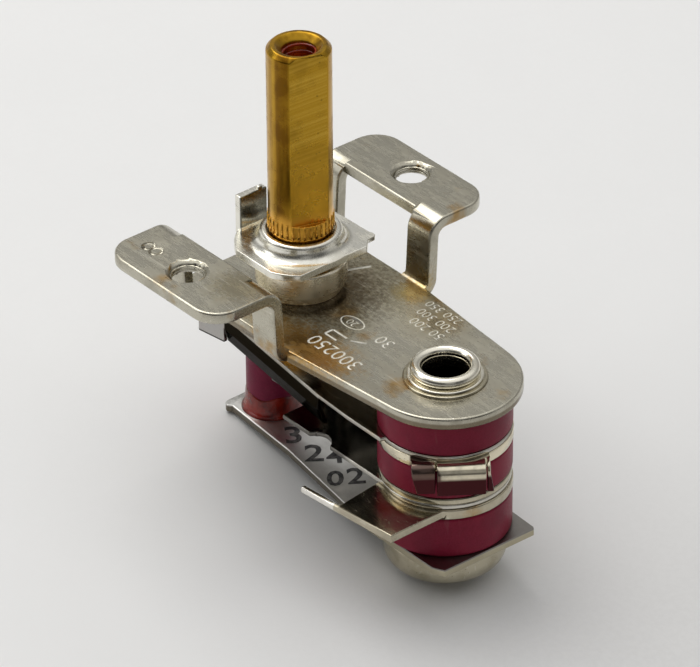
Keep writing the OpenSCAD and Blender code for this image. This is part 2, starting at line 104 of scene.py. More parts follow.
class Wiring:
    """Adds the nodes of one tree and joins their sockets."""

    def __init__(self, tree: bpy.types.NodeTree) -> None:
        """Keeps the tree that the nodes go into."""
        self.tree = tree

    def feed(self, socket: bpy.types.NodeSocket, value: Any) -> None:
        """Links an output to a socket, or sets the socket's own value.

        Args:
            socket: the input to fill.
            value: an output socket, a node whose first output is meant, or a plain value.
        """
        if isinstance(value, bpy.types.Node):
            value = value.outputs[0]
        if isinstance(value, bpy.types.NodeSocket):
            self.tree.links.new(value, socket)
        elif socket.type == "RGBA" and len(value) == 3:
            socket.default_value = (*value, 1.0)
        else:
            socket.default_value = value

    def fill(self, node: bpy.types.Node, inputs: dict[Any, Any]) -> None:
        """Feeds several inputs of a node, by name or number."""
        for key, value in inputs.items():
            self.feed(node.inputs[key], value)

    def add(self, kind: str, inputs: dict[Any, Any] | None = None, **settings: Any) -> bpy.types.Node:
        """Adds one node.

        Args:
            kind: the node's type name.
            inputs: its inputs by name or number.
            **settings: the node's own options.

        Returns:
            The new node.
        """
        node = self.tree.nodes.new(kind)
        for key, value in settings.items():
            setattr(node, key, value)
        self.fill(node, inputs or {})
        return node

    def math(self, operation: str, a: Any, b: Any) -> Any:
        """The result of one step of arithmetic."""
        return self.add("ShaderNodeMath", {0: a, 1: b}, operation=operation).outputs[0]

    def times(self, a: Any, b: Any) -> Any:
        """The product of two values."""
        return self.math("MULTIPLY", a, b)

    def plus(self, a: Any, b: Any) -> Any:
        """The sum of two values."""
        return self.math("ADD", a, b)

    def minus(self, a: Any, b: Any) -> Any:
        """What is left of one value when another is taken from it."""
        return self.math("SUBTRACT", a, b)

    def vector(self, operation: str, a: Any, b: Point = (0.0, 0.0, 0.0)) -> Any:
        """The result of one step of vector arithmetic, a number or a vector."""
        node = self.add("ShaderNodeVectorMath", {0: a, 1: b}, operation=operation)
        return node.outputs["Value" if operation in ("DOT_PRODUCT", "LENGTH") else "Vector"]

    def placed(self, at: Any, **changes: Point) -> Any:
        """A place after a Mapping node with the given location, rotation or scale."""
        changed = {label.title(): value for label, value in changes.items()}
        return self.add("ShaderNodeMapping", {"Vector": at, **changed}).outputs[0]

    def noise(self, at: Any, scale: Any, **traits: float) -> Any:
        """A cloudy noise with the given detail, roughness or distortion."""
        named = {label.title(): value for label, value in traits.items()}
        return self.add("ShaderNodeTexNoise", {"Vector": at, "Scale": scale, **named}).outputs[0]

    def ramp(self, value: Any, low: Any, high: Any, out_low: float = 0.0, out_high: float = 1.0) -> Any:
        """Maps a value smoothly from one span to another.

        Args:
            value: the socket to map.
            low: the value that becomes out_low.
            high: the value that becomes out_high.
            out_low: the lower result.
            out_high: the upper result.

        Returns:
            The output socket.
        """
        spans = {"Value": value, "From Min": low, "From Max": high, "To Min": out_low, "To Max": out_high}
        return self.add("ShaderNodeMapRange", spans, interpolation_type="SMOOTHSTEP").outputs[0]

    def mix(self, factor: Any, under: Any, over: Any) -> Any:
        """One colour mixed over another by a factor."""
        colours = {"Factor": factor, 6: under, 7: over}
        return self.add("ShaderNodeMix", colours, data_type="RGBA", clamp_factor=True).outputs[2]

    def layer(self, under: Any, mask: Any, over: Any, share: float) -> Any:
        """One colour with a share of another laid over it where the mask says."""
        return self.mix(self.times(mask, share), under, over)


def name_socket(tree: bpy.types.NodeTree, label: str, kind: str, in_out: str = "INPUT") -> None:
    """Gives a node group a named input or output."""
    tree.interface.new_socket(label, in_out=in_out, socket_type="NodeSocket" + kind)


@dataclass(frozen=True)
class Effect:
    """A surface effect that several finishes share, as a node group with a place and some numbers."""

    name: str
    numbers: tuple[str, ...]
    results: tuple[str, ...]
    body: Callable[[Wiring, Any], dict[str, Any]]

    def group(self) -> bpy.types.NodeTree:
        """The effect's node group, built once.

        Returns:
            The node group.
        """
        found = bpy.data.node_groups.get(self.name)
        if found:
            return found
        tree = bpy.data.node_groups.new(self.name, "ShaderNodeTree")
        name_socket(tree, "Vector", "Vector")
        for label in self.numbers:
            name_socket(tree, label, "Float")
        for label in self.results:
            name_socket(tree, label, "Float", "OUTPUT")
        wires = Wiring(tree)
        source = tree.nodes.new("NodeGroupInput")
        wires.fill(tree.nodes.new("NodeGroupOutput"), self.body(wires, source.outputs))
        return tree

    def place(self, w: Wiring, at: Any, **numbers: float) -> bpy.types.Node:
        """Puts the effect, with all its numbers by name, into a material and returns the group node."""
        return w.add("ShaderNodeGroup", {"Vector": at, **numbers}, node_tree=self.group())

    def mask(self, w: Wiring, at: Any, **numbers: float) -> Any:
        """Puts the effect into a material and returns its mask."""
        return self.place(w, at, **numbers).outputs["Mask"]


def _patches(w: Wiring, i: Any) -> dict[str, Any]:
    """Soft uneven patches, such as tint, dirt or a duller coat."""
    cloud = w.noise(i["Vector"], i["Scale"], detail=4.0, roughness=0.6)
    return {"Mask": w.ramp(cloud, i["Low"], i["High"])}


def _grain(w: Wiring, i: Any) -> dict[str, Any]:
    """Fine lines left by rolling, turning or milling: a noise drawn out by the vector's own stretch.

    Args:
        w: the group's wiring.
        i: the group's inputs, by name.

    Returns:
        The group's outputs, by name.
    """
    fine = w.noise(i["Vector"], i["Scale"], detail=5.0, roughness=0.65)
    coarse = w.noise(i["Vector"], w.times(i["Scale"], 0.23), detail=2.0)
    both = w.plus(w.times(fine, 0.6), w.times(coarse, 0.4))
    return {"Height": both, "Mask": w.ramp(both, 0.42, 0.62)}


def _scratches(w: Wiring, i: Any) -> dict[str, Any]:
    """Sparse hairline scratches in two directions.

    Args:
        w: the group's wiring.
        i: the group's inputs, by name.

    Returns:
        The group's outputs, by name.
    """
    total: Any = 0.0
    for angle, seed in ((0.6, 3.0), (2.3, 11.0)):
        way = {"location": (seed, seed, seed), "rotation": (0.3, 0.2, angle), "scale": (0.12, 4.0, 1.0)}
        turned = w.placed(i["Vector"], **way)
        lines = w.noise(turned, i["Scale"], detail=2.0, distortion=0.4)
        total = w.math("MAXIMUM", w.ramp(lines, 0.68, 0.72), total)
    return {"Mask": total}


def _specks(w: Wiring, i: Any) -> dict[str, Any]:
    """Small round specks, pits or grains, present in only a share of the cells.

    Args:
        w: the group's wiring.
        i: the group's inputs, by name.

    Returns:
        The group's outputs, by name.
    """
    cells = w.add("ShaderNodeTexVoronoi", {"Vector": i["Vector"], "Scale": i["Scale"], "Randomness": 1.0})
    pick = w.add("ShaderNodeSeparateColor", {0: cells.outputs["Color"]})
    near = w.ramp(cells.outputs["Distance"], i["Size"], w.times(i["Size"], 0.5))
    return {"Mask": w.times(near, w.math("LESS_THAN", pick.outputs[0], i["Share"]))}


PATCHES = Effect("uneven_patches", ("Scale", "Low", "High"), ("Mask",), _patches)
GRAIN = Effect("drawn_grain", ("Scale",), ("Height", "Mask"), _grain)
SCRATCHES = Effect("hairline_scratches", ("Scale",), ("Mask",), _scratches)
SPECKS = Effect("scattered_specks", ("Scale", "Size", "Share"), ("Mask",), _specks)


# Finishes


@dataclass(frozen=True)
class Finish:
    """The base of every finish: a name, a slot and a material that is built once."""

    name: str
    slot: Slot

    def material(self) -> bpy.types.Material:
        """The finish's material, built once.

        Returns:
            The material.
        """
        found = bpy.data.materials.get(self.name)
        if found:
            return found
        made = bpy.data.materials.new(self.name)
        made.use_nodes = True
        made.node_tree.nodes.clear()
        w = Wiring(made.node_tree)
        shader = w.add("ShaderNodeBsdfPrincipled")
        w.add("ShaderNodeOutputMaterial", {"Surface": shader})
        metres = w.add("ShaderNodeTexCoord").outputs["Object"]
        self.paint(w, shader, w.placed(metres, scale=(1 / MM, 1 / MM, 1 / MM)))
        return made

    def paint(self, w: Wiring, shader: bpy.types.Node, at: Any) -> None:
        """Builds the finish's own nodes.

        Args:
            w: the material's wiring.
            shader: its Principled BSDF.
            at: the place on the object, in millimetres.
        """
        raise NotImplementedError

    def bump(self, w: Wiring, shader: bpy.types.Node, height: Any, distance_mm: float) -> None:
        """Feeds a height, in shares of a distance, to the shader's normal."""
        node = w.add("ShaderNodeBump", {"Height": height, "Distance": distance_mm * MM, "Strength": 1.0})
        w.feed(shader.inputs["Normal"], node)


@dataclass(frozen=True)
class Spot:
    """A stained place on a metal part, or a patch of painted shade or painted reflection, with a ragged edge.
    """

    centre: Point
    radius: float
    colour: Colour
    strength: float = 0.8
    stretch: Point = (1.0, 1.0, 1.0)
    fray: float = 0.3
    outer: float = 1.1
    inner: float = 0.35

    def lay(self, w: Wiring, at: Any, ragged: Any, colour: Any) -> Any:
        """Mixes the stain, or the painted shade or reflection, into a colour.

        Args:
            w: the material's wiring.
            at: the place on the object, in millimetres.
            ragged: a mask that breaks up the stain's edge.
            colour: the colour under the stain.

        Returns:
            The stained or painted colour.
        """
        apart = w.vector("MULTIPLY", w.vector("SUBTRACT", at, self.centre), self.stretch)
        gap = w.plus(w.vector("LENGTH", apart), w.times(ragged, self.fray * self.radius))
        near = w.ramp(gap, self.outer * self.radius, self.inner * self.radius)
        return w.layer(colour, near, self.colour, self.strength)


@dataclass(frozen=True)
class Zone:
    """A box on a part, in mm, with soft sides and a colour laid over it; in most uses painted shade, a
    painted reflection or a painted highlight.
    """

    low: Point
    high: Point
    soft: float = 0.03
    # Near black by default, for painted shade.
    colour: Colour = (0.018, 0.015, 0.013)
    strength: float = 0.93

    def mask(self, w: Wiring, at: Any) -> Any:
        """The box as a mask.

        Args:
            w: the material's wiring.
            at: the place on the object, in millimetres.

        Returns:
            The mask's output socket.
        """
        parts = w.add("ShaderNodeSeparateXYZ", {0: at}).outputs
        inside: Any = 1.0
        for part, low, high in zip(parts, self.low, self.high):
            inside = w.times(inside, w.ramp(part, low - self.soft, low + self.soft))
            inside = w.times(inside, w.ramp(part, high + self.soft, high - self.soft))
        return inside


@dataclass(frozen=True)
class Plating(Finish):
    """Nickel or tin plated steel sheet: rolling grain, dull patches, hairlines, brown tint and stains, with
    painted shade, painted reflections and painted highlights laid on in zones and some spots.
    """

    clean: Colour = (0.60, 0.56, 0.47)
    dull: Colour = (0.40, 0.37, 0.30)
    tint: Colour = (0.40, 0.24, 0.07)
    hairline: Colour = (0.80, 0.77, 0.68)
    grime: Colour = (0.13, 0.10, 0.07)
    # Near-white colour of the stamped marks: a painted highlight.
    stamp_glare_white: Colour = (0.96, 0.94, 0.86)
    tinted: tuple[float, float] = (0.56, 0.72)
    rough: tuple[float, float] = (0.22, 0.38)
    grain_stretch: Point = (0.25, 1.6, 1.0)
    grain_mm: float = 0.0025
    edge_tint: float = 1.0
    spots: tuple[Spot, ...] = ()
    zones: tuple[Zone, ...] = ()
    stamp_glare: Zone | None = None
    stamp_glare_rough: float = 0.10
    stamp_glare_matt: float = 0.75

    def paint(self, w: Wiring, shader: bpy.types.Node, at: Any) -> None:
        """Builds the plated metal.

        Args:
            w: the material's wiring.
            shader: its Principled BSDF.
            at: the place on the object, in millimetres.
        """
        grain = GRAIN.place(w, w.placed(at, scale=self.grain_stretch), Scale=5.0)
        dull = PATCHES.mask(w, at, Scale=0.35, Low=0.40, High=0.64)
        fine = PATCHES.mask(w, at, Scale=2.6, Low=0.35, High=0.70)
        shifted = w.placed(at, location=(31.0, 7.0, 5.0))
        tint = PATCHES.mask(w, shifted, Scale=0.16, Low=self.tinted[0], High=self.tinted[1])
        lines = SCRATCHES.mask(w, at, Scale=1.3)
        pits = SPECKS.mask(w, at, Scale=1.7, Size=0.16, Share=0.22)
        colour = w.layer(self.clean, dull, self.dull, share=0.5)
        colour = w.layer(colour, tint, self.tint, share=0.8)
        # Stains, and on some parts spots of painted shade and painted reflection.
        for spot in self.spots:
            colour = spot.lay(w, at, fine, colour)
        colour = w.layer(colour, lines, self.hairline, share=0.35)
        colour = w.layer(colour, pits, self.grime, share=0.45)
        # Painted shade, painted reflections and painted highlights, box by box.
        for zone in self.zones:
            colour = w.layer(colour, zone.mask(w, at), zone.colour, zone.strength)
        worn = w.plus(w.times(dull, 0.5), w.times(grain.outputs["Mask"], 0.5))
        rough = w.ramp(worn, 0.0, 1.0, *self.rough)
        metallic: Any = 1.0
        # Painted highlight in the stamped marks: near-white, less metallic and rougher, like glare on the
        # pressed metal.
        if self.stamp_glare:
            stamp_glare = self.stamp_glare.mask(w, at)
            colour = w.mix(stamp_glare, colour, self.stamp_glare_white)
            rough = w.plus(rough, w.times(stamp_glare, self.stamp_glare_rough))
            metallic = w.minus(1.0, w.times(stamp_glare, self.stamp_glare_matt))
        w.fill(shader, {"Base Color": colour, "Roughness": rough, "Metallic": metallic})
        w.feed(shader.inputs["Specular Tint"], (self.edge_tint, self.edge_tint, self.edge_tint))
        height = w.minus(grain.outputs["Height"], w.times(w.math("MAXIMUM", lines, pits), 0.8))
        self.bump(w, shader, height, self.grain_mm)


@dataclass(frozen=True)
class Brass(Finish):
    """Turned brass with fine rings, a milled flat with slanting lines and brown tarnish, with painted light:
    a dark reflection band, a lighter low flat and an orange glint round the foot.
    """

    bright: Colour = (0.50, 0.285, 0.024)
    deep: Colour = (0.17, 0.078, 0.006)
    cut: Colour = (0.74, 0.47, 0.07)
    pit: Colour = (0.10, 0.06, 0.015)
    # Painted light on the lower part of the milled flat.
    low_flat_painted_light: Colour = (0.80, 0.45, 0.045)
    # Painted orange glint round the foot of the shaft.
    foot: Colour = (0.95, 0.50, 0.08)
    flat_angle: float = -19.0
    flat_mm: float = 2.55
    flat_margin: float = 0.02
    cut_slant: float = -11.0
    # Which way the painted dark reflection band faces.
    reflection_band_angle: float = -72.0

    def paint(self, w: Wiring, shader: bpy.types.Node, at: Any) -> None:
        """Builds the brass.

        Args:
            w: the material's wiring.
            shader: its Principled BSDF.
            at: the place on the object, in millimetres.
        """
        turn = math.radians(self.flat_angle)
        depth = w.vector("DOT_PRODUCT", at, (math.cos(turn), math.sin(turn), 0.0))
        on_flat = w.times(
            w.math("GREATER_THAN", depth, self.flat_mm - self.flat_margin),
            w.math("LESS_THAN", depth, self.flat_mm + self.flat_margin),
        )
        face = w.placed(at, rotation=(0.0, 0.0, -turn))
        slanted = w.placed(face, rotation=(math.radians(self.cut_slant), 0.0, 0.0))
        cuts = GRAIN.place(w, w.placed(slanted, scale=(0.0, 0.012, 2.2)), Scale=1.6)
        rings = GRAIN.place(w, w.placed(at, scale=(0.12, 0.12, 2.6)), Scale=2.5)
        stain = PATCHES.mask(w, at, Scale=0.30, Low=0.42, High=0.68)
        pits = SPECKS.mask(w, at, Scale=1.5, Size=0.2, Share=0.2)
        # Tarnish streaks plus the painted dark reflection band, off the flat.
        streaks_and_reflection = w.times(self.streaks(w, at), w.minus(1.0, on_flat))
        dark = w.math("MINIMUM", w.plus(w.times(stain, 0.3), w.times(streaks_and_reflection, 0.85)), 1.0)
        colour = w.mix(dark, self.bright, self.deep)
        colour = w.layer(colour, w.times(cuts.outputs["Mask"], on_flat), self.cut, share=0.6)
        colour = w.layer(colour, pits, self.pit, share=0.5)
        height = w.add("ShaderNodeSeparateXYZ", {0: at}).outputs[2]
        # Painted light: the flat gets lighter towards its lower end.
        colour = w.mix(w.times(w.ramp(height, 12.0, 4.0, 0.0, 0.8), on_flat), colour, self.low_flat_painted_light)
        # Painted orange glint all round the foot.
        colour = w.mix(w.ramp(height, 2.6, 1.2, 0.0, 0.6), colour, self.foot)
        rough = w.ramp(stain, 0.0, 1.0, 0.24, 0.36)
        w.fill(shader, {"Base Color": colour, "Roughness": rough, "Metallic": 1.0})
        relief = w.add("ShaderNodeMix", data_type="FLOAT")
        w.fill(relief, {"Factor": on_flat, 2: rings.outputs["Height"], 3: cuts.outputs["Height"]})
        self.bump(w, shader, relief, 0.008)

    def streaks(self, w: Wiring, at: Any) -> Any:
        """Upright dark tarnish streaks, with one broad band of painted dark reflection where the shaft
        mirrors the dark side.

        Args:
            w: the material's wiring.
            at: the place on the object, in millimetres.

        Returns:
            The mask of the streaks and the painted reflection band.
        """
        drawn = GRAIN.place(w, w.placed(at, scale=(1.5, 1.5, 0.05)), Scale=0.9)
        side = math.radians(self.reflection_band_angle)
        outwards = w.vector("NORMALIZE", w.vector("MULTIPLY", at, (1.0, 1.0, 0.0)))
        facing = w.vector("DOT_PRODUCT", outwards, (math.cos(side), math.sin(side), 0.0))
        # Painted dark reflection band on the side facing the dark surroundings.
        band = w.times(w.ramp(facing, 0.955, 0.985), w.ramp(drawn.outputs["Height"], 0.3, 0.6, 0.6, 1.0))
        return w.math("MAXIMUM", w.times(drawn.outputs["Mask"], 0.55), band)


@dataclass(frozen=True)
class Ceramic(Finish):
    """Dyed fired ceramic with a soft gloss, darker mottling, fine grains and rubbed grey marks."""

    colour: Colour = (0.235, 0.009, 0.032)
    deep: Colour = (0.135, 0.005, 0.020)
    pale: Colour = (0.34, 0.030, 0.080)
    rub: Colour = (0.30, 0.20, 0.21)
    rough: tuple[float, float] = (0.37, 0.54)
    coat: float = 0.04

    def paint(self, w: Wiring, shader: bpy.types.Node, at: Any) -> None:
        """Builds the ceramic.

        Args:
            w: the material's wiring.
            shader: its Principled BSDF.
            at: the place on the object, in millimetres.
        """
        cloud = PATCHES.mask(w, at, Scale=0.22, Low=0.35, High=0.68)
        grains = PATCHES.mask(w, at, Scale=6.0, Low=0.35, High=0.75)
        dots = SPECKS.mask(w, at, Scale=2.4, Size=0.2, Share=0.25)
        rubs = PATCHES.mask(w, w.placed(at, scale=(1.0, 1.0, 0.16)), Scale=1.1, Low=0.62, High=0.74)
        colour = w.layer(self.colour, cloud, self.deep, share=0.6)
        colour = w.layer(colour, grains, self.pale, share=0.22)
        colour = w.layer(colour, dots, self.deep, share=0.35)
        colour = w.layer(colour, rubs, self.rub, share=0.10)
        w.fill(shader, {"Base Color": colour, "Roughness": w.ramp(grains, 0.0, 1.0, *self.rough)})
        w.fill(shader, {"Coat Weight": self.coat, "Coat Roughness": 0.18, "Specular IOR Level": 0.14})
        self.bump(w, shader, w.minus(grains, w.times(dots, 0.7)), 0.006)


@dataclass(frozen=True)
class Lacquer(Finish):
    """Thick glossy sealing lacquer with thin and thick places."""

    thin: Colour = (0.42, 0.05, 0.012)
    thick: Colour = (0.16, 0.008, 0.006)

    def paint(self, w: Wiring, shader: bpy.types.Node, at: Any) -> None:
        """Builds the lacquer.

        Args:
            w: the material's wiring.
            shader: its Principled BSDF.
            at: the place on the object, in millimetres.
        """
        pool = PATCHES.mask(w, at, Scale=0.5, Low=0.35, High=0.65)
        ripple = PATCHES.mask(w, at, Scale=1.6, Low=0.2, High=0.8)
        rough = w.ramp(ripple, 0.0, 1.0, 0.10, 0.22)
        w.fill(shader, {"Base Color": w.mix(pool, self.thin, self.thick), "Roughness": rough})
        w.fill(shader, {"Coat Weight": 0.15, "Coat Roughness": 0.05})
        self.bump(w, shader, ripple, 0.03)


@dataclass(frozen=True)
class Ink(Finish):
    """Marker ink on metal, thinner where the stroke ran dry."""

    wet: Colour = (0.018, 0.016, 0.018)
    faint: Colour = (0.15, 0.145, 0.14)

    def paint(self, w: Wiring, shader: bpy.types.Node, at: Any) -> None:
        """Builds the ink.

        Args:
            w: the material's wiring.
            shader: its Principled BSDF.
            at: the place on the object, in millimetres.
        """
        dry = PATCHES.mask(w, at, Scale=1.5, Low=0.42, High=0.66)
        rough = w.ramp(dry, 0.0, 1.0, 0.32, 0.55)
        w.fill(shader, {"Base Color": w.mix(dry, self.wet, self.faint), "Roughness": rough})


class Finishes:
    """Every finish of the object, by name."""

    BRACKET = Plating(
        "bracket_nickel",
        Slot.BRACKET,
        clean=(0.51, 0.485, 0.40),
        dull=(0.33, 0.305, 0.24),
        tinted=(0.58, 0.72),
        grain_mm=0.0016,
        spots=(
            # Painted dark reflection round the bushing, over brown tarnish.
            Spot((2.5, 1.0, -7.2), 9.5, (0.085, 0.058, 0.026), 0.92),
            Spot((9.5, -6.6, -7.3), 4.2, (0.52, 0.29, 0.055), 0.85, (0.55, 1.0, 1.0)),
            Spot((8.2, 7.4, -7.2), 2.8, (0.60, 0.46, 0.18), 0.8),
            Spot((14.0, 6.0, -7.4), 3.5, (0.36, 0.26, 0.11), 0.5),
            Spot((6.5, 9.5, -6.5), 3.0, (0.30, 0.19, 0.06), 0.6),
            Spot((5.5, -11.8, 0.0), 4.4, (0.27, 0.215, 0.10), 0.55),
        ),
        # Painted shade on the plate's edges and underside.
        zones=(Zone((-9.0, -12.0, -8.6), (32.0, 12.0, -7.8), 0.12, (0.15, 0.115, 0.07), 0.8),),
        # Painted highlight in the stamped marks.
        stamp_glare=Zone((0.3, -6.4, -7.45), (17.6, 8.0, -7.225), 0.012),
    )
    BUSHING = Plating(
        "bushing_nickel",
        Slot.BUSHING,
        clean=(0.97, 0.90, 0.74),
        dull=(0.84, 0.75, 0.58),
        tinted=(0.68, 0.72),
        rough=(0.24, 0.40),
        grain_stretch=(0.3, 0.3, 2.5),
    )
    STOP = Plating(
        "stop_nickel",
        Slot.STOP,
        clean=(0.86, 0.84, 0.76),
        dull=(0.66, 0.635, 0.54),
        tinted=(0.76, 0.92),
        rough=(0.20, 0.36),
        # Painted dark shade on a narrow upright face of the stop plate.
        zones=(Zone((-5.3, -3.4, -2.0), (-5.0, 0.1, 1.8), 0.05, (0.10, 0.095, 0.07), 0.85),),
    )
    RIVET = Plating(
        "rivet_tin",
        Slot.RIVET,
        clean=(0.54, 0.495, 0.375),
        dull=(0.31, 0.275, 0.185),
        tinted=(0.62, 0.72),
        rough=(0.14, 0.28),
        grain_stretch=(0.5, 0.5, 1.5),
        zones=(
            # Painted highlight on the rolled rim of the rivet.
            Zone((15.0, -7.0, -6.85), (28.0, 7.0, -5.0), 0.1, (0.93, 0.89, 0.77), 0.85),
            # Painted shade on the rivet inside the stack, between the layers.
            Zone((15.0, -7.0, -17.0), (28.0, 7.0, -7.5), 0.3, strength=0.97),
        ),
    )
    TERMINAL = Plating(
        "terminal_tin",
        Slot.TERMINAL,
        clean=(0.54, 0.49, 0.375),
        dull=(0.33, 0.295, 0.22),
        tinted=(0.54, 0.72),
        rough=(0.14, 0.28),
        # Painted highlight on the lower terminal's tail edge.
        zones=(Zone((10.0, -13.5, -20.0), (18.6, -10.0, -17.0), 0.1, (0.98, 0.96, 0.90), 0.9),),
    )
    TAB = Plating(
        "terminal_tab_tin",
        Slot.TERMINAL,
        # A lighter copy of the terminal tin: painted light on the upper terminal.
        clean=(0.80, 0.73, 0.56),
        tinted=(0.54, 0.72),
        rough=(0.12, 0.26),
        zones=(
            # Painted dark-red reflection of the rings on the tab's lower faces.
            Zone((22.0, -12.0, -17.0), (33.0, 4.0, -13.85), 0.2, (0.055, 0.014, 0.016), 1.0),
            # Painted shade on the tab's leg bend.
            Zone((23.6, -9.0, -14.0), (28.5, -5.4, -12.4), 0.12, (0.10, 0.055, 0.05), 0.9),
        ),
    )
    SPRING = Plating(
        "spring_nickel",
        Slot.SPRING,
        clean=(0.62, 0.60, 0.54),
        dull=(0.42, 0.39, 0.33),
        tinted=(0.62, 0.72),
        rough=(0.12, 0.26),
        grain_stretch=(0.12, 2.4, 1.0),
        # Painted shade on the lower spring under the contact arm.
        zones=(Zone((-5.0, -9.0, -19.0), (14.0, 5.2, -17.0), 0.8, (0.05, 0.045, 0.04), 0.8),),
    )
    ARM = Plating(
        "arm_nickel",
        Slot.SPRING,
        # A darker copy of the spring nickel: painted shade on the arm.
        clean=(0.50, 0.48, 0.43),
        dull=(0.24, 0.22, 0.185),
        tinted=(0.50, 0.72),
        rough=(0.12, 0.26),
        grain_stretch=(0.12, 2.4, 1.0),
        edge_tint=0.45,
        zones=(
            # Painted dark reflection on the flanges from the far waist to the stack.
            Zone((-6.7, -9.0, -17.0), (14.5, 9.0, -12.52), 0.08, (0.020, 0.017, 0.013), 1.0),
            # Painted light band on the upper part of the flanges near the far end.
            Zone((-12.0, -9.0, -17.0), (-6.7, 9.0, -12.6), 0.1, (0.44, 0.43, 0.42), 0.9),
            # Painted dark reflection on their lower part.
            Zone((-12.0, -9.0, -17.0), (-6.7, 9.0, -15.35), 0.08, (0.02, 0.018, 0.015), 1.0),
        ),
    )
    BIMETAL = Plating(
        "bimetal_strip",
        Slot.BIMETAL,
        clean=(0.80, 0.79, 0.76),
        dull=(0.58, 0.57, 0.54),
        tinted=(0.66, 0.80),
        rough=(0.28, 0.42),
        grain_stretch=(0.12, 2.4, 1.0),
        # Painted shade at the strip's far tip.
        spots=(Spot((-8.6, 0.0, -24.1), 2.2, (0.10, 0.095, 0.085), 0.7, (1.0, 0.4, 1.0)),),
        zones=(
            # Painted shade on the top face round the rivet head.
            Zone((17.0, -9.0, -23.84), (40.0, 9.0, -23.0), 0.04, (0.16, 0.145, 0.13), 0.85),
            # Painted shade on the strip's side faces.
            Zone((-12.0, -9.0, -25.5), (17.0, 9.0, -23.84), 0.04, (0.10, 0.08, 0.045), 0.88),
            # Painted golden light on the side faces under the stack.
            Zone((17.0, -9.0, -25.5), (40.0, 9.0, -23.84), 0.04, (0.40, 0.35, 0.22), 0.85),
        ),
    )
    PUSH = Plating("push_pin_steel", Slot.PUSH, clean=(0.5, 0.5, 0.5))
    CONTACT = Plating(
        "silver_worn",
        Slot.CONTACT,
        clean=(0.80, 0.78, 0.74),
        dull=(0.5, 0.46, 0.4),
        rough=(0.2, 0.35),
    )
    BRASS = Brass("brass_turned", Slot.BRASS)
    RING = Ceramic("ceramic_ring_fired", Slot.RING)
    PIN = Ceramic("ceramic_pin_fired", Slot.PIN, colour=(0.20, 0.013, 0.045), deep=(0.12, 0.007, 0.030))
    ROD = Ceramic("ceramic_rod_fired", Slot.ROD)
    LACQUER = Lacquer("sealing_lacquer", Slot.LACQUER)
    FOOT_LACQUER = Lacquer(
        "foot_lacquer",
        Slot.LACQUER,
        thin=(0.30, 0.014, 0.004),
        thick=(0.11, 0.003, 0.002),
    )
    INK = Ink("marker_ink", Slot.BIMETAL)


# Meshes


def add_object(name: str, data: bpy.types.ID) -> bpy.types.Object:
    """Links a new object at the origin.

    Args:
        name: the object's name.
        data: its mesh, curve, lamp or camera.

    Returns:
        The new object.
    """
    made = bpy.data.objects.new(name, data)
    bpy.context.scene.collection.objects.link(made)
    return made


@contextmanager
def opened(mesh: bpy.types.Mesh, source: bpy.types.Mesh | None = None) -> Iterator[bmesh.types.BMesh]:
    """Opens a mesh for editing, and writes it when the editing is done.

    Args:
        mesh: the mesh that is written.
        source: the mesh that is read, or None to read the same one.

    Yields:
        The mesh in progress.
    """
    work = bmesh.new()
    work.from_mesh(source or mesh)
    yield work
    work.to_mesh(mesh)
    work.free()


def solid_copy(node: str, name: str, slices: tuple[float, ...] = ()) -> bpy.types.Object:
    """A copy of a CAD node with its loose triangles joined into flat and round faces.

    Args:
        node: the CAD node.
        name: the piece's name.
        slices: places along X, in metres, where the copy gets a row of edges so that it can bend.

    Returns:
        The new object.
    """
    mesh = bpy.data.meshes.new(name)
    with opened(mesh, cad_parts[node].data) as work:
        bmesh.ops.remove_doubles(work, verts=work.verts, dist=CAD_JOIN)
        bmesh.ops.dissolve_limit(work, angle_limit=ONE_FACE, verts=work.verts, edges=work.edges)
        for x in slices:
            everything = [*work.verts, *work.edges, *work.faces]
            plane = {"plane_co": (x, 0, 0), "plane_no": (1, 0, 0)}
            bmesh.ops.bisect_plane(work, geom=everything, dist=SAME_POINT, **plane)
        for face in work.faces:
            face.smooth = True
    return add_object(name, mesh)


def settle(piece: bpy.types.Object) -> bpy.types.Object:
    """Turns a piece's modifiers into its plain mesh.

    Args:
        piece: the object.

    Returns:
        The piece.
    """
    graph = bpy.context.evaluated_depsgraph_get()
    shaped = piece.evaluated_get(graph)
    mesh = bpy.data.meshes.new_from_object(shaped, preserve_all_data_layers=True, depsgraph=graph)
    piece.modifiers.clear()
    piece.data = mesh
    return piece


def room_beside(edge: bmesh.types.BMEdge) -> float:
    """How far the faces beside an edge reach inwards from its middle.

    Args:
        edge: the edge.

    Returns:
        The nearest face border's distance, in metres.
    """
    middle = (edge.verts[0].co + edge.verts[1].co) / 2
    room = math.inf
    for loop in edge.link_loops:
        inwards = loop.face.normal.cross((loop.link_loop_next.vert.co - loop.vert.co).normalized())
        for other in loop.face.edges:
            if other is edge:
                continue
            start, end = (v.co for v in other.verts)
            place, share = intersect_point_line(middle, start, end)
            step = (start if share < 0 else end if share > 1 else place) - middle
            if step.length < room and step.dot(inwards) > 0.5 * step.length:
                room = step.length
    return room


def mark_outer_edges(piece: bpy.types.Object, width_mm: float) -> None:
    """Marks a piece's outer edges for rounding, where the faces beside them are wide enough for it.

    Args:
        piece: the object.
        width_mm: how far the rounding reaches into each face.
    """
    wide_enough = 0.8 * width_mm * MM
    with opened(piece.data) as solid:
        weight = solid.edges.layers.float.new(EDGE_WEIGHT)
        for edge in solid.edges:
            outer = edge.is_convex and edge.calc_face_angle(0.0) > ROUNDED_FROM
            edge[weight] = float(outer and room_beside(edge) > wide_enough)


